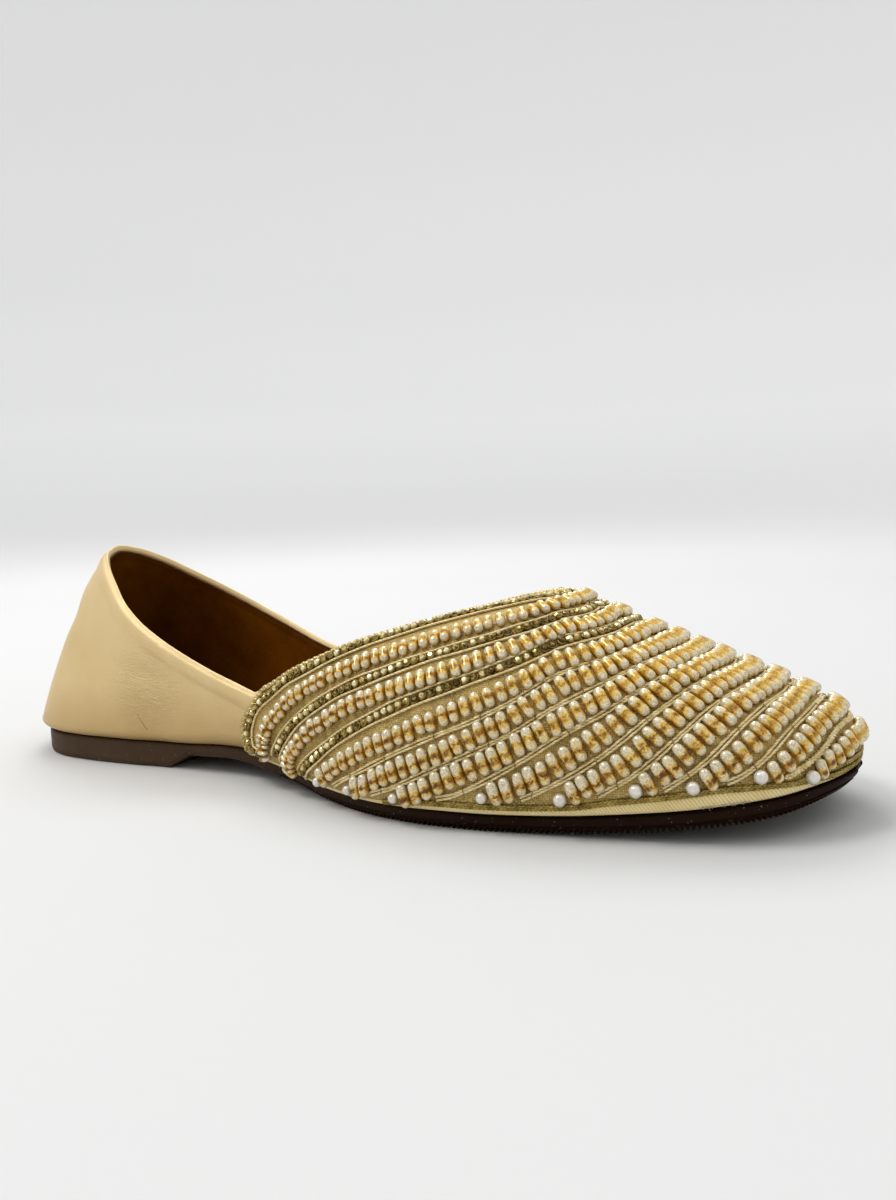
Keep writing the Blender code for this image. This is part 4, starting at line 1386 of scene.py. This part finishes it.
def make_end_pearls(paths, material):
    """A white pearl closes each pearl row from the third on, at both its ends."""
    frames, centres, widths = [], [], []
    for (_, path), size in list(zip(paths_of("pearl", paths), PEARL_ROWS))[2:]:
        for side in (OUTER, INNER):
            position, normal, heading = (found[0] for found in at_travel(path, side, np.array([0.0002])))
            widths.append(size[5] / 1000)
            centres.append(position + normal * (CLOTH_TOP + 0.42 * widths[-1]))
            frames.append([np.cross(normal, heading), normal, heading])
    count = len(centres)
    width = np.array(widths) * RANDOM.normal(1, 0.03, count)
    rings, around = 15, 22
    angle = np.linspace(-math.pi / 2, math.pi / 2, rings + 2)[1:-1]
    theta = np.linspace(0, 2 * math.pi, around, endpoint=False)
    circle = np.outer(np.cos(angle), np.cos(theta)), np.outer(np.cos(angle), np.sin(theta))
    local = np.stack([np.repeat(np.sin(angle), around), circle[0].reshape(-1), circle[1].reshape(-1)], axis=1)
    points = np.array(centres)[:, None] + (local @ np.array(frames)) * (width / 2)[:, None, None]
    quads, *caps = tube_copies(rings, around, count)
    faces = [quads, np.concatenate(caps)]
    piece("end_pearls", points.reshape(-1, 3), faces, [material], slot="pearl_string_03")


def cord_route(path, side, offset, step, lift):
    """A route along a path, moved across it on the cloth and lifted to the middle of the cord."""
    fine = np.linspace(0, 1, 600)
    flat = np.clip(path(fine), [0, 0.02], [1, 1])
    travel = travelled(skin(flat[:, 0], flat[:, 1], side))
    way = np.linspace(0, travel[-1], max(12, round(travel[-1] / step)))
    position, normal = sample_path(path, np.interp(way, travel, fine), side)
    across = unit(np.cross(normal, unit(np.gradient(position, axis=0))) * -side)
    wander = 0.00012 * np.sin(way / 0.0062 + offset * 9000) + 0.00007 * np.sin(way / 0.0023 + offset * 3000)
    return position + across * (offset + wander)[:, None] + normal * (CLOTH_TOP + lift), normal


def between(first, second):
    return lambda t: (first(t) + second(t)) / 2


def pearl_gaps(paths):
    """Paths halfway between neighbouring pearl rows, from the third row to the last but one."""
    pearls = [path for _, path in paths_of("pearl", paths)]
    return [between(first, second) for first, second in zip(pearls[2:-2], pearls[3:-1])]


def make_row_cords(paths, material):
    """Couched cords: a pair between pearl rows, a plait by the toe, and one on each side of a stone row."""
    section = round_section(CORD_RADIUS, 7)
    lift = CORD_RADIUS * 1.1
    pairs, singles = [], []
    toe_gap = between(*(path for _, path in paths_of("pearl", paths)[-2:]))
    for side in (OUTER, INNER):
        route, normal = cord_route(toe_gap, side, 0.0, 0.00035, 0.0005)
        pairs += plait(route, normal, 0.0016, 0.0011, 0.0034, 0.00036)
    rows = [(pairs, path, PAIR_OFFSET, (-1, 1)) for path in pearl_gaps(paths)]
    # The first stone row follows the throat's edge, and has no cord beyond it.
    stones = paths_of("stone", paths)
    for k, (_, path) in enumerate(stones):
        rows.append((singles, path, STONE_CORD_OFFSET, (-1, 1) if k else (-1,)))
    for parts, path, offset, ways in rows:
        for side in (OUTER, INNER):
            for way in ways:
                route, normal = cord_route(path, side, way * offset, 0.0005, lift)
                parts.append(sweep(route, normal, section, 0.0))
    joined_piece("pair_cords", pairs, material)
    joined_piece("stone_row_cords", singles, material)


def make_cord_ties(paths, material):
    """The stitches that hold the pairs of cords down, every 13 mm or so."""
    parts = []
    arc = np.linspace(-1, 1, 7)
    rise = CLOTH_TOP + 0.00082 * np.sqrt(1 - 0.96 * arc**2)
    for path in pearl_gaps(paths):
        for side in (OUTER, INNER):
            places = np.arange(0.006, path_length(path, side) - 0.002, TIE_SPACING)
            places += RANDOM.normal(0, 0.0012, len(places))
            position, normal, heading = at_travel(path, side, places)
            lean = np.cross(normal, heading) + heading * RANDOM.normal(0.3, 0.15, (len(places), 1))
            for centre, up, reach in zip(position, normal, lean):
                route = centre + np.outer(arc * 0.00078, reach) + np.outer(rise, up)
                parts.append(sweep(route, np.tile(up, (len(arc), 1)), round_section(0.00015, 5), 0.0))
    joined_piece("cord_ties", parts, material)


def make_fray(material):
    """Loose fibres at the lower edge of the bare twill, where it is worn."""
    count = 170
    turns = RANDOM.uniform(*FRAY_TURNS, count)
    position = skin(turns, np.full(count, FRAY_HEIGHT), OUTER)
    normal = skin_normal(turns, np.full(count, FRAY_HEIGHT), OUTER)
    parts = []
    for start, out in zip(position + normal * CLOTH_TOP, normal):
        length = RANDOM.uniform(0.0003, 0.0008)
        aim = out * RANDOM.uniform(0.2, 0.7) + [RANDOM.normal(0, 0.5), 0, RANDOM.uniform(-1.0, 0.3)]
        aim = unit(aim)
        curl = RANDOM.normal(0, 0.3, 3)
        t = np.linspace(0, 1, 5)[:, None]
        route = start + aim * length * t + curl * length * t**2
        parts.append(sweep(route, np.tile(out, (5, 1)), round_section(0.00004, 4), 0.0))
    joined_piece("twill_fray", parts, material)


def make_edge_binding(material):
    """The twisted cord that closes the cloth's rear edge and the throat, in one run from side to side."""
    rows = np.linspace(0.03, 1, 160)
    rear = np.stack([rear_turn(rows), rows], axis=1)
    throat = np.linspace(rear[-1, 0], share_to_turn(THROAT[-1][0]), 260)[1:]
    flat = np.concatenate([rear, np.stack([throat, np.ones(len(throat))], axis=1)])
    route = both_sides(skin, flat[:, 0], flat[:, 1])
    normal = unit(both_sides(skin_normal, flat[:, 0], np.minimum(flat[:, 1], 0.985)))
    top = np.clip((np.concatenate([flat[:, 1], flat[-2::-1, 1]]) - 0.9) / 0.1, 0, 1)[:, None]
    route = route + normal * 0.0011 + [0, 0, 1] * top * 0.0006
    route, normal = resample(route, normal, 0.00030)
    cord = sweep(route, normal, lobed_section(0.00088, 2, 12, 0.32), 1 / 0.0036)
    joined_piece("edge_binding", [cord], material)


def resample(route, normal, step):
    """The same route at even steps, smoothed over 1.5 mm each way."""
    travel = travelled(route)
    places = np.linspace(0, travel[-1], max(8, round(travel[-1] / step)))
    fresh = np.stack([np.interp(places, travel, route[:, k]) for k in range(3)], axis=1)
    lean = np.stack([np.interp(places, travel, normal[:, k]) for k in range(3)], axis=1)
    reach = max(1, round(0.0015 / step))
    window = np.hanning(2 * reach + 3)[1:-1]
    window /= window.sum()
    for values in (fresh, lean):
        for k in range(3):
            padded = np.pad(values[:, k], len(window) // 2, mode="reflect", reflect_type="odd")
            values[:, k] = np.convolve(padded, window, "valid")
    return fresh, unit(lean)


def plait(route, normal, width, thickness, pitch, radius):
    """Three strands that cross by turns, flat on the surface."""
    across = np.cross(normal, unit(np.gradient(route, axis=0)))
    travel = travelled(route)
    parts = []
    for strand in range(3):
        phase = 2 * math.pi * (travel / pitch + strand / 3)
        middle = (
            route
            + across * (np.sin(phase) * (width / 2 - radius))[:, None]
            + normal * (np.sin(2 * phase) * (thickness / 2 - radius))[:, None]
        )
        parts.append(sweep(middle, normal, round_section(radius, 7), 0.0))
    return parts


def make_foot_braid(material):
    """The plaited cord under the rows, from behind the ball round the toe to the inner side."""
    parts = []
    lines = (
        # start along, height above the braid line, width
        (0.600, 0.000, 0.0015),
        (0.958, 0.055, 0.0015),
        (0.972, 0.110, 0.0014),
    )
    for start, above, width in lines:
        turns = np.linspace(share_to_turn(start), 1, 300)
        rise = np.clip((turns - turns[0]) / 0.03, 0, 1) * above
        heights = braid_height(turns) + rise
        normal = both_sides(skin_normal, turns, heights)
        route = both_sides(skin, turns, heights) + normal * (CLOTH_TOP + 0.0004)
        route, normal = resample(route, normal, 0.00035)
        parts += plait(route, normal, width, 0.0010, 0.0033, 0.00033)
    joined_piece("foot_braid", parts, material)


def main():
    make_camera()
    make_studio()
    paths = string_paths()
    lining = brown_leather("amber_lining", (0.130, 0.042, 0.001), (0.235, 0.092, 0.002))
    footbed = brown_leather("amber_footbed", (0.150, 0.052, 0.001), (0.270, 0.112, 0.003))
    make_upper(gold_leather(), lining)
    make_topline_welt(thread("lining_edge", (0.12, 0.058, 0.018), (0.24, 0.13, 0.045), 0.0014, 0.0, 0.6))
    make_footbed(footbed)
    make_sole(brown_rubber())
    make_vamp_cloth(gold_cloth(), twill())
    make_pearl_rows(paths, pearl())
    make_stone_rows(paths, cut_stone(), stone_cup())
    make_end_pearls(paths, white_pearl())
    cord = thread("cream_cord", (0.74, 0.58, 0.27), (0.97, 0.84, 0.53), metallic=0.25, roughness=0.42)
    make_row_cords(paths, cord)
    make_edge_binding(thread("binding_cord", (0.55, 0.42, 0.16), (0.85, 0.70, 0.36), 0.0017))
    make_foot_braid(thread("olive_braid", (0.24, 0.165, 0.030), (0.56, 0.43, 0.14)))
    make_cord_ties(paths, thread("tie_thread", (0.34, 0.24, 0.08), (0.60, 0.46, 0.18), 0.0005))
    make_fray(thread("loose_fibre", (0.80, 0.74, 0.60), (0.95, 0.92, 0.84), 0.0005, 0.0, 0.7))


main()
